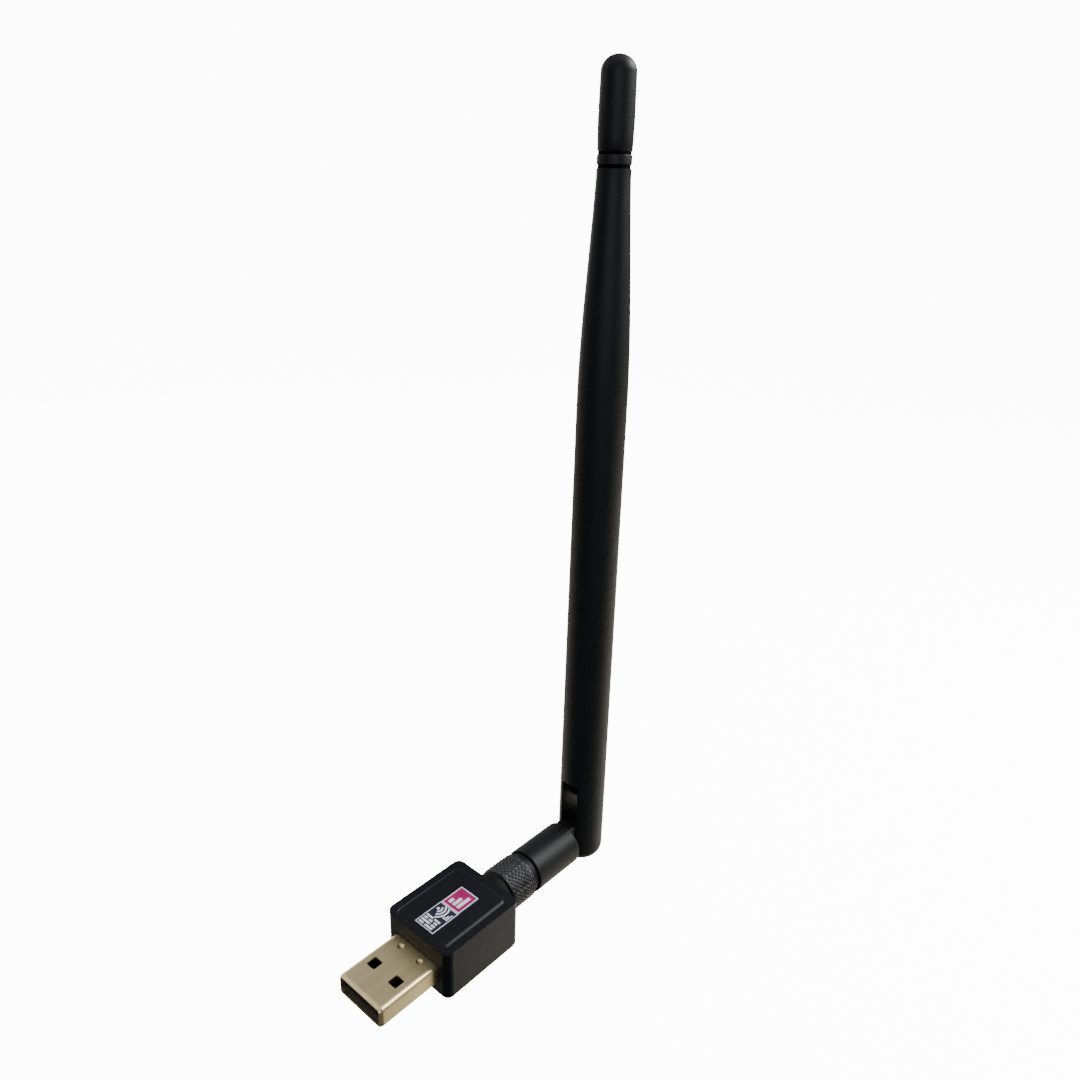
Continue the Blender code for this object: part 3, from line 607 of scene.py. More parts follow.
def lathe(points, where, segments=ROUND):
    """A bmesh turned from (place, radius) points. It is closed by poles, or as a loop where it has a bore."""
    shape = bmesh.new()
    rings = []
    for place, radius in points:
        if radius <= 1e-9:
            rings.append([shape.verts.new(where(place, 0.0, 0.0))])
        else:
            rings.append(turned_ring(shape, where, place, radius, segments))
    skin(shape, rings, loop=len(rings[0]) > 1)
    return shape


def drill(start, end, radius, where, segments):
    """A cylinder to cut a round hole with."""
    return lathe([(start, 0.0), (start, radius), (end, radius), (end, 0.0)], where, segments)


def corner_outline(half_x, half_y, corner, steps=10):
    """The (x, y) points of a rectangle with round corners."""
    points = []
    for quarter, (sign_x, sign_y) in enumerate(((1, 1), (-1, 1), (-1, -1), (1, -1))):
        for step in range(steps + 1):
            angle = QUARTER * (quarter + step / steps)
            x = sign_x * (half_x - corner) + corner * math.cos(angle)
            points.append((x, sign_y * (half_y - corner) + corner * math.sin(angle)))
    return points


def through_levels(levels, half_x, half_y, corner, where, steps):
    """A bmesh through (place, inset) levels of a round-cornered outline. where(place, x, y) gives a point."""
    shape = bmesh.new()
    rings = []
    for place, inset in levels:
        outline = corner_outline(half_x - inset, half_y - inset, max(corner - inset, MIN_CORNER), steps)
        rings.append([shape.verts.new(where(place, x, y)) for x, y in outline])
    skin(shape, rings, caps=True)
    return shape


def stacked(levels, half_x, half_y, corner, centre, steps=10):
    """A bmesh through (height, inset) levels, round a centre."""
    def where(height, x, y):
        return centre[0] + x, centre[1] + y, height
    return through_levels(levels, half_x, half_y, corner, where, steps)


def stacked_along_y(levels, half_x, half_z, corner, height=0.0, steps=8):
    """A bmesh through (y, inset) levels, round an axis at a height."""
    def where(place, x, z):
        return x, place, height + z
    return through_levels(levels, half_x, half_z, corner, where, steps)


def rounding(height, inset, radius, outward, steps=6):
    """Levels round a quarter circle: up from the flat to the side if outward, else from the side to the flat."""
    levels = []
    for step in range(steps + 1):
        angle = QUARTER * step / steps
        near, far = radius * (1 - math.cos(angle)), radius * (1 - math.sin(angle))
        levels.append((height + near, inset + far) if outward else (height - far, inset + near))
    return levels


def block(low, high, edge=0.0, segments=3):
    """A box between two corners, with its edges rounded."""
    shape = bmesh.new()
    bmesh.ops.create_cube(shape, size=1.0)
    for vertex in shape.verts:
        for axis in range(3):
            vertex.co[axis] = high[axis] if vertex.co[axis] > 0 else low[axis]
    if edge:
        edges = shape.edges[:]
        bmesh.ops.bevel(shape, geom=edges, offset=edge, segments=segments, affect="EDGES", profile=0.5)
    return shape


# Case

def make_case():
    """The tray with its plug and jack openings, and the lid with its raised panel."""
    centre = ((CASE_LOW.x + CASE_HIGH.x) / 2, (CASE_LOW.y + CASE_HIGH.y) / 2)
    half_x, half_y = (CASE_HIGH.x - CASE_LOW.x) / 2, (CASE_HIGH.y - CASE_LOW.y) / 2
    front, back = CASE_LOW.y, CASE_HIGH.y
    rim, floor = CASE_HIGH.z, CASE_LOW.z + CASE_WALL
    levels = rounding(CASE_LOW.z, 0.0, CASE_EDGE, True, 8)
    levels += [(rim - SEAM_EDGE, 0.0), (rim, SEAM_EDGE), (rim, CASE_WALL), (floor, CASE_WALL)]
    tray = helper(stacked(levels, half_x, half_y, CASE_CORNER, centre))
    opening = (
        PLUG_HIGH.x + OPENING_GAP,
        (PLUG_HIGH.z - PLUG_LOW.z) / 2 + OPENING_GAP,
        PLUG_CORNER + OPENING_GAP,
    )
    plug_hole = stacked_along_y(((front - CUT_MARGIN, 0.0), (front + OPENING_DEPTH, 0.0)), *opening)
    flare = ((front - LEAD_IN_DEPTH, -LEAD_IN_FLARE), (front + LEAD_IN_DEPTH, 0.0))
    lead_in = stacked_along_y(flare, *opening)
    jack_hole = drill(back - JACK_HOLE_DEPTH, back + CUT_MARGIN, NUT_BORE, frame_y, 64)
    boolean(tray, [helper(plug_hole), helper(lead_in), helper(jack_hole)])
    tray.name = "case_tray"
    dress(tray, CASE_PLASTIC, "adapter", ("case_bottom",))

    border = LID_HIGH.z - PANEL_HEIGHT
    lid_edge = rim + SEAM_GAP
    lip_outer = CASE_WALL + SEAM_GAP
    lip_inner = lip_outer + LIP_WIDTH
    levels = [(rim - LID_HOLLOW, lip_inner), (LID_LOW.z, lip_inner), (LID_LOW.z, lip_outer)]
    levels += [(lid_edge, lip_outer), (lid_edge, SEAM_EDGE), (lid_edge + SEAM_EDGE, 0.0)]
    levels += rounding(border, 0.0, LID_ROUND, False, 6)
    lid = helper(stacked(levels, half_x, half_y, CASE_CORNER, centre))
    levels = [(border - PANEL_ROOT, 0.0)]
    steps = 12
    for step in range(steps + 1):
        part = step / steps
        rise = (1 - math.cos(math.pi * part)) / 2
        levels.append((border - PANEL_SINK + (PANEL_HEIGHT + PANEL_SINK) * rise, PANEL_SLOPE * part))
    middle = (centre[0], (PANEL_FRONT + PANEL_BACK) / 2)
    panel = stacked(levels, PANEL_HALF_WIDTH, (PANEL_BACK - PANEL_FRONT) / 2, PANEL_CORNER, middle)
    boolean(lid, [helper(panel)], "UNION")
    lid.name = "case_cover"
    dress(lid, CASE_PLASTIC, "adapter", ("case_lid",))


# Label: a film on the lid with a generic printed graphic, each ink a thin layer of its own

def flat_shape(outline, low_z, high_z):
    """An outline raised from one height to another."""
    shape = bmesh.new()
    lower = [shape.verts.new((x, y, low_z)) for x, y in outline]
    upper = [shape.verts.new((x, y, high_z)) for x, y in outline]
    skin(shape, [lower, upper], caps=True)
    return shape


def joined(shapes):
    """One bmesh of several."""
    whole = bmesh.new()
    for shape in shapes:
        mesh = bpy.data.meshes.new("part")
        shape.to_mesh(mesh)
        shape.free()
        whole.from_mesh(mesh)
        bpy.data.meshes.remove(mesh)
    return whole


def bar(x0, y0, x1, y1, low_z, high_z):
    """A printed bar."""
    return flat_shape(((x0, y0), (x1, y0), (x1, y1), (x0, y1)), low_z, high_z)


def arc_band(centre, inner, outer, start, end, low_z, high_z, steps=20):
    """A printed arc between two radii and two angles in degrees."""
    angles = [math.radians(start + (end - start) * i / steps) for i in range(steps + 1)]
    outline = [(centre[0] + outer * math.cos(a), centre[1] + outer * math.sin(a)) for a in angles]
    outline += [(centre[0] + inner * math.cos(a), centre[1] + inner * math.sin(a)) for a in reversed(angles)]
    return flat_shape(outline, low_z, high_z)


def border_band(x0, y0, x1, y1, width, low_z, high_z):
    """The four bars of a printed frame."""
    return [
        bar(x0, y0, x1, y0 + width, low_z, high_z),
        bar(x0, y1 - width, x1, y1, low_z, high_z),
        bar(x0, y0 + width, x0 + width, y1 - width, low_z, high_z),
        bar(x1 - width, y0 + width, x1, y1 - width, low_z, high_z),
    ]


def make_label():
    """The film, its coloured block, and the white marks on both."""
    low, high = LABEL_LOW, LABEL_HIGH
    middle = ((low.x + high.x) / 2, (low.y + high.y) / 2)
    half_x, half_y = (high.x - low.x) / 2, (high.y - low.y) / 2
    levels = [(low.z, 0.0), (high.z - FILM_EDGE, 0.0), (high.z, FILM_EDGE)]
    film = stacked(levels, half_x, half_y, LABEL_CORNER, middle, 6)
    piece("label_film", film, LABEL_FILM, "adapter", ("label",))

    base = high.z - INK_SINK
    ink = (base, base + 2 * INK_LAYER)
    over_block = (base, base + 4 * INK_LAYER)
    split = low.y + BLOCK_START * (high.y - low.y)
    block_half = (high.y - BLOCK_MARGIN - split) / 2
    levels = [(height, 0.0) for height in ink]
    place = (middle[0], split + block_half)
    magenta = stacked(levels, half_x - BLOCK_MARGIN, block_half, LABEL_CORNER, place, 6)
    piece("label_block", magenta, PRINT_MAGENTA, "adapter")

    # Radio waves over rows of plain bars stand in for the printed words.
    margin = FRAME_MARGIN
    marks = border_band(low.x + margin, low.y + margin, high.x - margin, split, FRAME_WIDTH, *ink)
    source = (low.x + WAVES_X, low.y + WAVES_Y)
    for number in range(3):
        inner = WAVE_START + WAVE_SPACING * number
        marks.append(arc_band(source, inner, inner + WAVE_WIDTH, -WAVE_HALF_ANGLE, WAVE_HALF_ANGLE, *ink))
    marks.append(arc_band(source, DOT_INNER, DOT_RADIUS, 0, 359, *ink))
    for row, lengths in enumerate(ROW_LENGTHS):
        x, y = low.x + ROW_X, low.y + ROW_Y + ROW_SPACING * row
        for length in lengths:
            marks.append(bar(x, y, x + length, y + ROW_WIDTH, *ink))
            x += length + ROW_GAP
    for column in range(3):
        x, y = high.x - STEPS_X + STEPS_SPACING * column, low.y + STEPS_Y
        marks.append(bar(x, y, x + STEPS_WIDTH, y + STEPS_HEIGHT * (column + 1), *ink))

    # The coloured block carries a white edge line and three rising signal bars.
    x, y = low.x + BLOCK_MARGIN, split + BLOCK_FRAME_GAP
    far_x, far_y = high.x - BLOCK_MARGIN, high.y - BLOCK_MARGIN
    marks += border_band(x, y, far_x, far_y, BLOCK_FRAME_WIDTH, *over_block)
    for column in range(3):
        x, y = low.x + SIGNAL_X + SIGNAL_SPACING * column, split + SIGNAL_Y
        marks.append(bar(x, y, x + SIGNAL_WIDTH, y + SIGNAL_LOWEST + SIGNAL_RISE * column, *over_block))
    piece("label_marks", joined(marks), PRINT_WHITE, "adapter")


# Plug

def make_shell():
    """The folded shell with its softened mouth, latch holes, dimples and underside seam."""
    half_x, half_z = PLUG_HIGH.x, PLUG_HIGH.z
    tip, tail = PLUG_LOW.y, PLUG_HIGH.y
    lip_end = tip + PLUG_LIP_LENGTH
    outer = [(tip + 0.00003, PLUG_LIP + 0.00016), (tip, PLUG_LIP + 0.00008), (tip + 0.00004, PLUG_LIP)]
    steps = 8
    for step in range(1, steps):
        part = step / steps
        outer.append((tip + PLUG_LIP_LENGTH * part, PLUG_LIP * (1 - math.sin(QUARTER * part))))
    outer += [(lip_end, 0.0), (tail, 0.0)]
    inner = [(tail, PLUG_WALL), (lip_end, PLUG_WALL), (tip + 0.0002, PLUG_LIP + 0.00020)]
    shape = bmesh.new()
    rings = []
    for place, inset in outer + inner:
        outline = corner_outline(half_x - inset, half_z - inset, PLUG_CORNER - inset)
        rings.append([shape.verts.new((x, place, z)) for x, z in outline])
    skin(shape, rings, loop=True)
    shell = helper(shape)

    cutters = []
    ball_radius = (DIMPLE_RADIUS**2 + DIMPLE_DEPTH**2) / (2 * DIMPLE_DEPTH)
    for side in (-1, 1):
        half = LATCH_HOLE / 2
        levels = ((-LATCH_HOLE_REACH, 0.0), (LATCH_HOLE_REACH, 0.0))
        hole = stacked(levels, half, half, MIN_CORNER, (side * LATCH_HOLE_SPACING / 2, LATCH_HOLE_Y), 4)
        cutters.append(helper(hole))
        ball = bmesh.new()
        bmesh.ops.create_uvsphere(ball, u_segments=64, v_segments=48, radius=ball_radius)
        lift = half_z + ball_radius - DIMPLE_DEPTH
        bmesh.ops.translate(ball, verts=ball.verts, vec=(side * DIMPLE_X, DIMPLE_Y, lift))
        cutters.append(helper(ball))
    seam = block(
        (-PLUG_SEAM_HALF, tip - CUT_MARGIN, -half_z - CUT_MARGIN),
        (PLUG_SEAM_HALF, tail + CUT_MARGIN, -half_z + PLUG_SEAM_DEPTH),
    )
    cutters.append(helper(seam))
    boolean(shell, cutters)
    shell.name = "plug_shell"
    dress(shell, PLUG_GOLD, "adapter", ("usb_shell",))


def make_tongue():
    """The tongue, and the four contacts in its slots."""
    tongue = helper(block(TONGUE_LOW, TONGUE_HIGH, TONGUE_EDGE, 4))
    slots = []
    for number in range(1, 5):
        low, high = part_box(f"usb_contact_{number}")
        name, replaced = f"plug_contact_{number}", (f"usb_contact_{number}",)
        piece(name, block(low, high, CONTACT_EDGE, 2), CONTACT_GOLD, "adapter", replaced)
        slot = block(
            (low.x - SLOT_SIDE_GAP, low.y - SLOT_END_GAP, TONGUE_HIGH.z - SLOT_DEPTH),
            (high.x + SLOT_SIDE_GAP, SLOT_BACK, SLOT_TOP),
        )
        slots.append(helper(slot))
    boolean(tongue, slots)
    tongue.name = "plug_tongue"
    dress(tongue, TONGUE_PLASTIC, "adapter", ("usb_tongue",))


# Jack, collar and nut

def make_jack():
    """The jack with a real helical thread, and its flange and legs inside the case."""
    start, end = JACK_LOW.y, JACK_HIGH.y
    root = THREAD_RADIUS - THREAD_DEPTH
    per_turn, steps = 64, 8
    shape = bmesh.new()
    rings = []
    count = int((end - THREAD_START) / THREAD_PITCH * steps)
    for row in range(count + 1):
        place = THREAD_START + row * THREAD_PITCH / steps
        fade_out = (end - place) / (THREAD_FADE_OUT * THREAD_PITCH)
        fade = max(0.0, min(1.0, fade_out, (place - THREAD_START) / THREAD_PITCH))
        ring = []
        for i in range(per_turn):
            phase = (place / THREAD_PITCH + i / per_turn) % 1.0
            groove = abs(2 * phase - 1)
            radius = THREAD_RADIUS - THREAD_DEPTH * min(1.0, THREAD_STEEPNESS * groove) * fade
            if end - place < THREAD_DEPTH:
                radius = min(radius, root + (end - place))
            ring.append(shape.verts.new(frame_y(place, radius, math.tau * i / per_turn)))
        rings.append(ring)
    inside = ((end, root), (end, JACK_BORE), (JACK_SHOULDER, JACK_BORE), (JACK_SHOULDER, THREAD_RADIUS))
    for place, radius in inside:
        rings.append(turned_ring(shape, frame_y, place, radius, per_turn))
    skin(shape, rings, loop=True)
    piece("jack_thread", shape, BRASS, "adapter", ("antenna_jack",), 50)

    low = (-FLANGE_HALF, start + FLANGE_START, AXIS_HEIGHT - FLANGE_HALF)
    high = (FLANGE_HALF, start + FLANGE_END, AXIS_HEIGHT + FLANGE_HALF)
    plate = helper(block(low, high, FLANGE_EDGE))
    hole = drill(FLANGE_HOLE_START, FLANGE_HOLE_END, THREAD_RADIUS + FLANGE_HOLE_GAP, frame_y, 64)
    boolean(plate, [helper(hole)])
    legs = []
    for x in (-LEG_X, LEG_X):
        for low_z, high_z in LEG_SPANS:
            low, high = (x - LEG_HALF, start, low_z), (x + LEG_HALF, start + LEG_LENGTH, high_z)
            legs.append(helper(block(low, high, LEG_EDGE)))
    boolean(plate, legs, "UNION")
    plate.name = "jack_flange"
    dress(plate, BRASS, "adapter")


def make_collar():
    """The collar between the case and the nut."""
    start, end = COLLAR_LOW.y, COLLAR_HIGH.y
    radius = (COLLAR_HIGH.x - COLLAR_LOW.x) / 2
    outline = [(start, NUT_BORE, 0.0), (start, radius, 0.0002), (end, radius, 0.0003), (end, NUT_BORE, 0.0)]
    piece("collar", lathe(eased(outline), frame_y), RUBBER, "adapter", ("jack_collar",))


def make_nut():
    """The nut: bevelled rims with a diamond knurl of small pyramids between them."""
    start, end = NUT_LOW.y, NUT_HIGH.y
    first, last = start + NUT_RIM, end - NUT_RIM
    around, along = KNURLS * KNURL_STEPS, KNURL_ROWS * KNURL_STEPS
    base = NUT_RADIUS - KNURL_DEPTH
    outline = [(first, base)]
    outline += [(start + back, NUT_RADIUS - down) for back, down in NUT_RIM_STEPS]
    outline += [(start, NUT_BORE + NUT_CHAMFER), (start + NUT_CHAMFER, NUT_BORE)]
    outline += [(end - NUT_LIP, NUT_BORE), (end - NUT_LIP, NUT_LIP_BORE)]
    outline += [(end - NUT_LIP_CHAMFER, NUT_LIP_BORE), (end, NUT_LIP_BORE + NUT_LIP_CHAMFER)]
    outline += [(end - back, NUT_RADIUS - down) for back, down in reversed(NUT_RIM_STEPS)]
    shape = bmesh.new()
    rings = [turned_ring(shape, frame_y, place, radius, around) for place, radius in outline]
    for row in range(along, 0, -1):
        place = first + (last - first) * row / along
        edge = min(1.0, 2 * row / KNURL_STEPS, 2 * (along - row) / KNURL_STEPS)
        ring = []
        for i in range(around):
            across, up = i / KNURL_STEPS, row / KNURL_STEPS
            one, other = (across + up) / 2 % 1.0, (across - up) / 2 % 1.0
            height = 2 * min(one, 1 - one, other, 1 - other)
            radius = base + KNURL_DEPTH * (min(1.0, KNURL_STEEPNESS * height) * edge)
            ring.append(shape.verts.new(frame_y(place, radius, math.tau * i / around)))
        rings.append(ring)
    skin(shape, rings, loop=True)
    piece("knurled_nut", shape, BLACK_NICKEL, "nut", ("coupling_nut",), 25)


def make_connector():
    """The ferrule with its shoulder and its retaining ring's seat, turned finely."""
    low, high = FERRULE_LOW.y, FERRULE_HIGH.y
    outline = [
        (low, FERRULE_BORE, 0.00005),
        (low, FERRULE_TUBE, 0.0001),
        (SHOULDER_START, FERRULE_TUBE, 0.0),
        (SHOULDER_START, SHOULDER_RADIUS, 0.0001),
        (SHOULDER_END, SHOULDER_RADIUS, 0.0001),
        (SHOULDER_END, FERRULE_RADIUS, 0.0),
        (RING_SEAT_START, FERRULE_RADIUS, 0.00005),
        (RING_SEAT_START, RING_SEAT_RADIUS, 0.0),
        (RING_SEAT_END, RING_SEAT_RADIUS, 0.0),
        (RING_SEAT_END, FERRULE_RADIUS, 0.00005),
        (high, FERRULE_RADIUS, 0.0001),
        (high, FERRULE_BORE, 0.0),
    ]
    ferrule = lathe(eased(outline, steps=3), frame_y)
    piece("ferrule", ferrule, BRASS, "connector", ("connector_ferrule",))


# Antenna

def make_barrel():
    """The barrel with the hinge knuckle on its end, and the slot that the lead bends in."""
    outline = [
        (BARREL_LOW.y, BARREL_BORE, 0.0001),
        (BARREL_LOW.y, BARREL_NECK_RADIUS, 0.0002),
        (BARREL_SHOULDER, BARREL_NECK_RADIUS, 0.0),
        (BARREL_SHOULDER + 0.00005, BARREL_RADIUS, 0.0002),
        (BARREL_END, BARREL_RADIUS, 0.0005),
        (BARREL_END, COAX_CHANNEL, 0.0),
        (BARREL_ROOM_END, COAX_CHANNEL, 0.0),
        (BARREL_ROOM_END, BARREL_ROOM_RADIUS, 0.0),
        (BARREL_ROOM_START, BARREL_ROOM_RADIUS, 0.0),
        (BARREL_ROOM_START, BARREL_BORE, 0.0),
    ]
    barrel = helper(lathe(eased(outline, steps=6), frame_y))
    outline = [
        (-KNUCKLE_HALF, 0.0, 0.0),
        (-KNUCKLE_HALF, KNUCKLE_RADIUS, KNUCKLE_EDGE),
        (KNUCKLE_HALF, KNUCKLE_RADIUS, KNUCKLE_EDGE),
        (KNUCKLE_HALF, 0.0, 0.0),
    ]
    knuckle = helper(lathe(eased(outline, steps=4), frame_hinge))
    levels = ((BARREL_END - KNUCKLE_OVERLAP, 0.0), (HINGE.y, 0.0))
    neck = stacked_along_y(levels, KNUCKLE_HALF, KNUCKLE_RADIUS, KNUCKLE_EDGE, AXIS_HEIGHT, 4)
    boolean(barrel, [helper(neck), knuckle], "UNION")
    channel = drill(CHANNEL_START, CHANNEL_END, COAX_CHANNEL, frame_y, 32)
    bend_room = block(
        (-COAX_CHANNEL, HINGE.y - BEND_ROOM_FRONT, AXIS_HEIGHT - COAX_CHANNEL),
        (COAX_CHANNEL, HINGE.y + BEND_ROOM_REACH, AXIS_HEIGHT + BEND_ROOM_REACH),
    )
    pin_hole = drill(-PIN_HOLE_REACH, PIN_HOLE_REACH, PIN_RADIUS - PIN_GRIP, frame_hinge, 48)
    boolean(barrel, [helper(channel), helper(bend_room), helper(pin_hole)])
    barrel.name = "swivel_barrel"
    dress(barrel, ANTENNA_PLASTIC, "antenna_base", ("barrel",))


def blade_radius(place):
    """The blade's outer radius: an even slight taper, then a smooth one that narrows it to the neck."""
    if place <= BLADE_TAPER_START:
        return BLADE_BASE_RADIUS + (BLADE_MIDDLE_RADIUS - BLADE_BASE_RADIUS) * place / BLADE_TAPER_START
    whole = BLADE_TAPER_END - BLADE_TAPER_START
    part = (1 - math.cos(math.pi * (place - BLADE_TAPER_START) / whole)) / 2
    at_neck = (1 - math.cos(math.pi * (BLADE_TAPER_TOP - BLADE_TAPER_START) / whole)) / 2
    return BLADE_MIDDLE_RADIUS - (BLADE_MIDDLE_RADIUS - BLADE_NECK_RADIUS) * part / at_neck


def blade_side():
    """(place, radius) points up the outside of the blade, from its rounded ears to its ring groove."""
    points = [(-EAR_DEPTH, 0.0)]
    steps = 12
    for step in range(steps + 1):
        angle = QUARTER * step / steps
        place = EAR_ROUND * (1 - math.cos(angle)) - EAR_DEPTH
        points.append((place, BLADE_BASE_RADIUS - EAR_ROUND * (1 - math.sin(angle))))
    places = [BLADE_STEP * i for i in range(1, round(BLADE_TAPER_START / BLADE_STEP))]
    rows = round((BLADE_TAPER_TOP - BLADE_TAPER_START) / BLADE_TAPER_STEP)
    places += [BLADE_TAPER_START + BLADE_TAPER_STEP * i for i in range(rows + 1)]
    points += [(place, blade_radius(place)) for place in places]
    steps = 8
    for step in range(steps + 1):
        angle = math.pi * step / steps
        place = RING_GROOVE - RING_GROOVE_WIDTH / 2 * math.cos(angle)
        depth = RING_GROOVE_DEPTH * math.sin(angle) ** RING_GROOVE_FULLNESS
        points.append((place, BLADE_NECK_RADIUS - depth))
    return points


def blade_inside(groove_end):
    """(place, radius) points over the blade's rim and down its bore."""
    wide = BLADE_MIDDLE_RADIUS - BLADE_WALL
    rim = [
        (groove_end, BLADE_NECK_RADIUS, 0.0),
        (BLADE_TOP, BLADE_NECK_RADIUS, BLADE_TOP_ROUND),
        (BLADE_TOP, BORE_TOP_RADIUS, 0.0),
        (BLADE_TAPER_TOP, BORE_TOP_RADIUS, 0.0),
    ]
    bore = [
        (BLADE_TAPER_TOP - BORE_EASE_LENGTH, BORE_NECK_RADIUS),
        (BLADE_TAPER_START + BORE_EASE_LENGTH, wide - BORE_EASE),
        (BLADE_TAPER_START, wide),
        (BORE_START + BORE_CONE, wide),
        (BORE_START, COAX_CHANNEL),
        (FORK_ROOT - CUT_MARGIN, COAX_CHANNEL),
        (FORK_ROOT - CUT_MARGIN, 0.0),
    ]
    return eased(rim, loop=False, steps=4)[1:] + bore


def fork_slot_outline():
    """(y, z) points of the fork's slot seen from the side. Its root curves up to the front face."""
    outline = [(-FORK_REACH, -FORK_REACH), (FORK_REACH, -FORK_REACH), (FORK_REACH, FORK_ROOT)]
    start = math.asin((FORK_ROOT - RUN_OUT_HEIGHT) / RUN_OUT_RADIUS)
    end = math.acos((RUN_OUT_SETBACK - FORK_REACH) / RUN_OUT_RADIUS)
    steps = 24
    for step in range(steps + 1):
        angle = start + (end - start) * step / steps
        y = RUN_OUT_RADIUS * math.cos(angle) - RUN_OUT_SETBACK
        outline.append((y, RUN_OUT_HEIGHT + RUN_OUT_RADIUS * math.sin(angle)))
    return outline


def clean_cuts(made):
    """Merges the slivers that the cuts leave."""
    shape = bmesh.new()
    shape.from_mesh(made.data)
    bmesh.ops.remove_doubles(shape, verts=shape.verts, dist=2e-6)
    bmesh.ops.dissolve_degenerate(shape, dist=1e-6, edges=shape.edges)
    shape.to_mesh(made.data)
    shape.free()


def make_blade():
    """The blade: a smooth taper with a ring groove near its top, hollow, and forked round the knuckle."""
    groove = (RING_GROOVE - RING_GROOVE_WIDTH / 2, RING_GROOVE + RING_GROOVE_WIDTH / 2)
    blade = helper(lathe(blade_side() + blade_inside(groove[1]), frame_blade))
    slot_shape = bmesh.new()
    sides = []
    for x in (-FORK_HALF, FORK_HALF):
        sides.append([slot_shape.verts.new(HINGE + Vector((x, y, z))) for y, z in fork_slot_outline()])
    skin(slot_shape, sides, caps=True)
    pin_hole = drill(-PIN_REACH, PIN_REACH, PIN_RADIUS, frame_hinge, 48)
    boolean(blade, [helper(slot_shape), helper(pin_hole)])
    clean_cuts(blade)
    blade.name = "antenna_blade"
    dress(blade, ANTENNA_PLASTIC, "antenna_blade", ("blade",))
    # Painted shade: the ring groove's faces get the near-black finish that stands in for the shade inside it.
    paint_groove_shade(blade, (groove,), BLADE_NECK_RADIUS - GROOVE_SHADE_DEPTH)


def make_cap():
    """The domed cap, its spigot in the blade, and the seam between them, with painted shade in it."""
    spigot_end, seam = CAP_START - SPIGOT_LENGTH, BLADE_TOP + CAP_SEAM_GAP
    outline = [(spigot_end, 0.0), (spigot_end, SPIGOT_RADIUS), (seam, SPIGOT_RADIUS)]
    outline += [(seam, CAP_SEAM_RADIUS), (CAP_START, CAP_SEAM_RADIUS)]
    outline += [(CAP_START + place, CAP_RADIUS + added) for place, added in CAP_PROFILE]
    steps = 24
    for step in range(steps + 1):
        angle = QUARTER * step / steps
        radius = (CAP_RADIUS - CAP_DOME_INSET) * math.cos(angle)
        outline.append((CAP_TIP - CAP_DOME + CAP_DOME * math.sin(angle), radius if step < steps else 0.0))
    shape = lathe(outline, frame_blade)
    cap = piece("antenna_cap", shape, ANTENNA_PLASTIC, "antenna_blade", ("tip_cap",))
    # Painted shade: the seam's faces between blade and cap get the near-black finish that stands in for the
    # shade inside it.
    paint_groove_shade(cap, ((BLADE_TOP, CAP_START + CAP_SHADE_END),), CAP_RADIUS)


def make_lead():
    """The coaxial lead, one piece that bends across the hinge."""
    bend_start, bend_top = HINGE.y - LEAD_BEND, AXIS_HEIGHT + LEAD_BEND
    steps = 12
    route = []
    for i in range(steps):
        route.append(Vector((0.0, LEAD_START + (bend_start - LEAD_START) * i / steps, AXIS_HEIGHT)))
    for step in range(steps + 1):
        angle = QUARTER * step / steps
        y = bend_start + LEAD_BEND * math.sin(angle)
        route.append(Vector((0.0, y, AXIS_HEIGHT + LEAD_BEND * (1 - math.cos(angle)))))
    for i in range(1, steps + 1):
        route.append(Vector((0.0, HINGE.y, bend_top + (LEAD_TOP - LEAD_BEND) * i / steps)))
    shape = bmesh.new()
    rings = []
    side = Vector((1.0, 0.0, 0.0))
    for i, place in enumerate(route):
        ahead = (route[min(i + 1, len(route) - 1)] - route[max(i - 1, 0)]).normalized()
        up = side.cross(ahead)
        ring = []
        for j in range(LEAD_SIDES):
            angle = math.tau * j / LEAD_SIDES
            spoke = math.cos(angle) * side + math.sin(angle) * up
            ring.append(shape.verts.new(place + COAX_RADIUS * spoke))
        rings.append(ring)
    skin(shape, rings, caps=True)
    lead = mesh_object("coax_lead", shape)
    lead.data.materials.append(COAX_JACKET)
    lead.data.shade_smooth()
    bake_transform(lead)
    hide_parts("coax_lower", "coax_upper")


def dress_inner_nodes():
    """The CAD nodes that stay get their finish: what is sealed in the case, the connector and the blade."""
    finishes = {
        BOARD_GREEN: ("circuit_board",),
        CHIP_BLACK: ("wifi_chip", "memory_chip", "voltage_regulator", "power_inductor"),
        STEEL: ("crystal", "retaining_ring", "hinge_pin_left", "hinge_pin_right"),
        CERAMIC: ("capacitor_1", "capacitor_2"),
        LED_LENS: ("activity_led",),
        PTFE: ("jack_insulator", "antenna_insulator"),
        CONTACT_GOLD: ("jack_pin", "antenna_socket"),
        BRASS: ("radiator_sleeve",),
        COPPER: ("radiator_whip",),
    }
    for finish, names in finishes.items():
        for name in names:
            data = frame["nodes"][name].data
            data.materials.clear()
            data.materials.append(finish)


# Stage

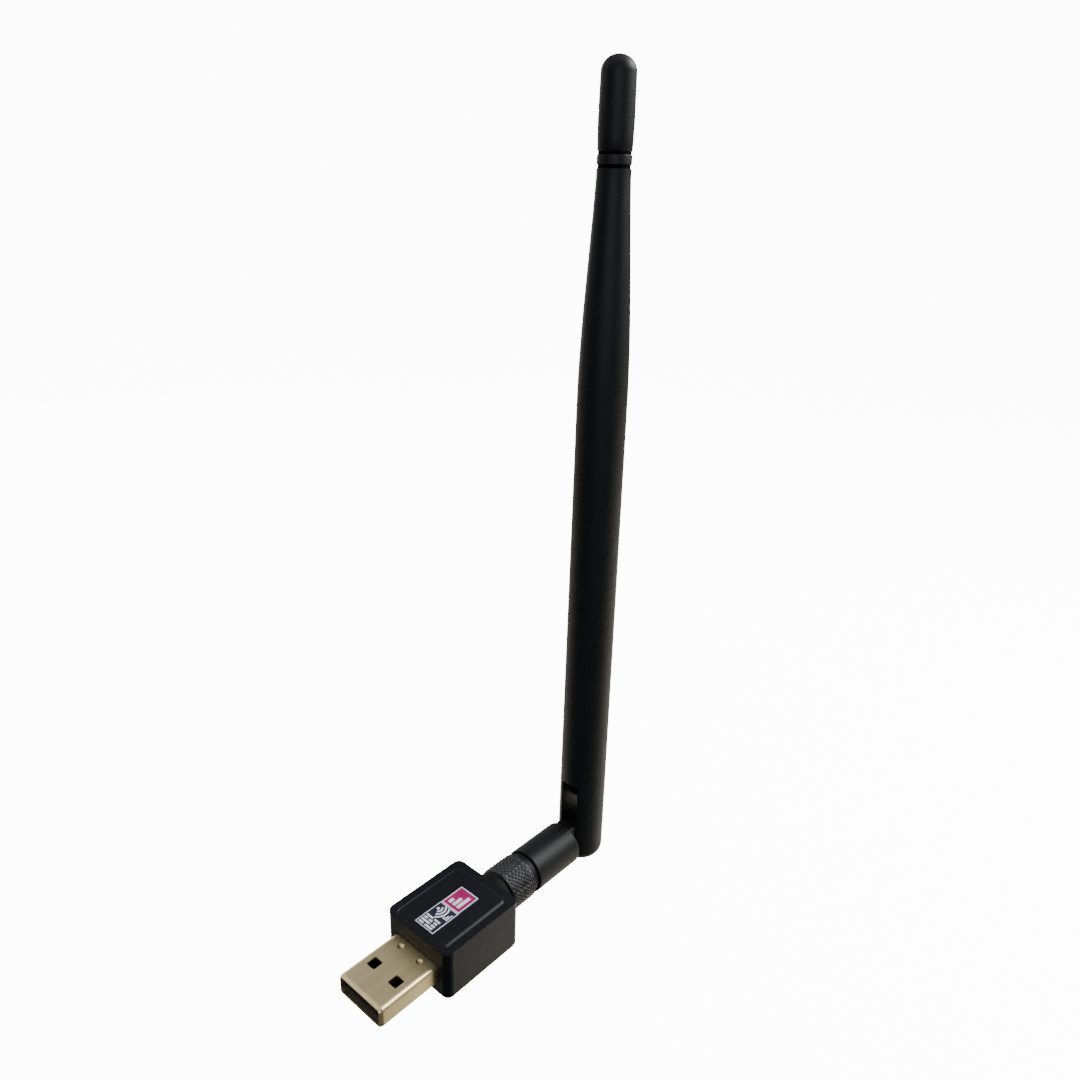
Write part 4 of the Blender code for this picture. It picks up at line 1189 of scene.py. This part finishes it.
def make_floor():
    """A pale floor that the antenna hangs clear of. It looks lighter than it lights, and as the object reflects
    it, it carries painted shade in front and painted light behind.
    """
    shape = bmesh.new()
    half, height = FLOOR_HALF, AXIS_HEIGHT - CAP_TIP - FLOOR_GAP
    corners = ((-half, -half), (half, -half), (half, half), (-half, half))
    shape.faces.new([shape.verts.new((x, y, height)) for x, y in corners])
    mesh = bpy.data.meshes.new("floor")
    shape.to_mesh(mesh)
    shape.free()
    floor = bpy.data.objects.new("floor", mesh)
    bpy.context.scene.collection.objects.link(floor)
    paint = bpy.data.materials.new("pale floor")
    paint.use_nodes = True
    tree = paint.node_tree
    tree.nodes.remove(tree.nodes["Principled BSDF"])
    seen = node(tree, "ShaderNodeBsdfDiffuse", {"Color": FLOOR_PAINT}).outputs["BSDF"]
    glow = node(tree, "ShaderNodeEmission", {"Color": WHITE, "Strength": GLOW}).outputs["Emission"]
    lit = node(tree, "ShaderNodeAddShader", {0: seen, 1: glow}).outputs["Shader"]
    place = node(tree, "ShaderNodeTexCoord").outputs["Object"]
    across = node(tree, "ShaderNodeVectorMath", {0: place, 1: FLOOR_WAY}, operation="DOT_PRODUCT")
    fall = {"Value": across.outputs["Value"], "From Min": FLOOR_PAINTED_SHADE_PLACE, "From Max": FLOOR_PAINTED_LIGHT_PLACE}
    part = node(tree, "ShaderNodeMapRange", fall, interpolation_type="SMOOTHSTEP").outputs["Result"]
    # Painted shade in front, where the object's shadow falls, and painted light behind, in the floor that the
    # object reflects.
    painted_shade_and_light = mix_colours(tree, part, FLOOR_PAINTED_SHADE, FLOOR_PAINTED_LIGHT)
    plain = node(tree, "ShaderNodeBsdfDiffuse", {"Color": painted_shade_and_light}).outputs["BSDF"]
    by_ray(tree, plain, lit, tree.nodes["Material Output"])
    mesh.materials.append(paint)


def make_surround():
    """A white surround that lights weakly."""
    world = bpy.data.worlds.new("surround")
    bpy.context.scene.world = world
    world.use_nodes = True
    tree = world.node_tree
    white = tree.nodes["Background"]
    white.inputs["Color"].default_value = WHITE
    white.inputs["Strength"].default_value = GLOW
    dim = node(tree, "ShaderNodeBackground", {"Color": SURROUND_LIGHT, "Strength": SURROUND_STRENGTH})
    by_ray(tree, dim.outputs["Background"], white.outputs["Background"], tree.nodes["World Output"])


def by_ray(tree, for_light, for_sight, output):
    """Links one shader for what the light meets and another for what is seen directly."""
    sight = node(tree, "ShaderNodeLightPath").outputs["Is Camera Ray"]
    both = node(tree, "ShaderNodeMixShader", {0: sight, 1: for_light, 2: for_sight})
    tree.links.new(both.outputs["Shader"], output.inputs["Surface"])


def softbox(name, direction, distance, size, power, colour=(1.0, 1.0, 1.0), at=LIGHT_AT):
    """An area light facing a point on the object from a direction."""
    light = bpy.data.lights.new(name, "AREA")
    light.shape = "RECTANGLE"
    light.size, light.size_y = size
    light.energy = power
    light.color = colour
    made = bpy.data.objects.new(name, light)
    bpy.context.scene.collection.objects.link(made)
    back = Vector(direction).normalized()
    made.location = Vector(at) + back * distance
    made.rotation_mode = "QUATERNION"
    made.rotation_quaternion = back.to_track_quat("Z", "Y")


def make_lights():
    """A key behind and to the right, one in front that the blade reflects, and weak fills."""
    softbox("key_softbox", (0.40, 0.68, 0.64), 0.9, (0.75, 0.45), 16.0)
    softbox("overhead_softbox", (-0.1, -0.1, 1.0), 1.0, (1.3, 1.3), 3.5, (0.97, 0.98, 1.0))
    softbox("left_softbox", (-0.9, -0.5, 0.5), 1.2, (0.5, 0.8), 2.2, (1.0, 0.99, 0.97))
    softbox("back_left_softbox", (-0.95, 0.25, 0.25), 1.2, (0.5, 0.9), 2.6)
    softbox("front_softbox", (0.62, -0.76, 0.20), 1.5, (1.3, 0.5), 9.0, (0.94, 0.94, 1.0), LIGHT_AT_BLADE)
    softbox("low_left_card", (-0.61, 0.70, 0.33), 1.0, (0.9, 0.5), 0.5, (0.92, 0.96, 1.0))


def make_camera():
    """Close and a little above, looking from the plug's right, with the roll of a hand-held shot."""
    data = bpy.data.cameras.new("camera")
    data.lens = CAMERA_LENS
    data.sensor_width = CAMERA_SENSOR
    data.clip_start = CAMERA_CLIP
    camera = bpy.data.objects.new("camera", data)
    bpy.context.scene.collection.objects.link(camera)
    place = Vector(CAMERA_PLACE)
    camera.location = place
    camera.rotation_mode = "QUATERNION"
    look = (Vector(CAMERA_TARGET) - place).to_track_quat("-Z", "Y")
    camera.rotation_quaternion = look @ Matrix.Rotation(CAMERA_ROLL, 3, "Z").to_quaternion()
    bpy.context.scene.camera = camera


make_camera()
make_floor()
make_surround()
make_lights()
make_case()
make_label()
make_shell()
make_tongue()
make_jack()
make_collar()
make_nut()
make_connector()
make_barrel()
make_blade()
make_cap()
make_lead()
dress_inner_nodes()

bpy.context.view_layer.update()
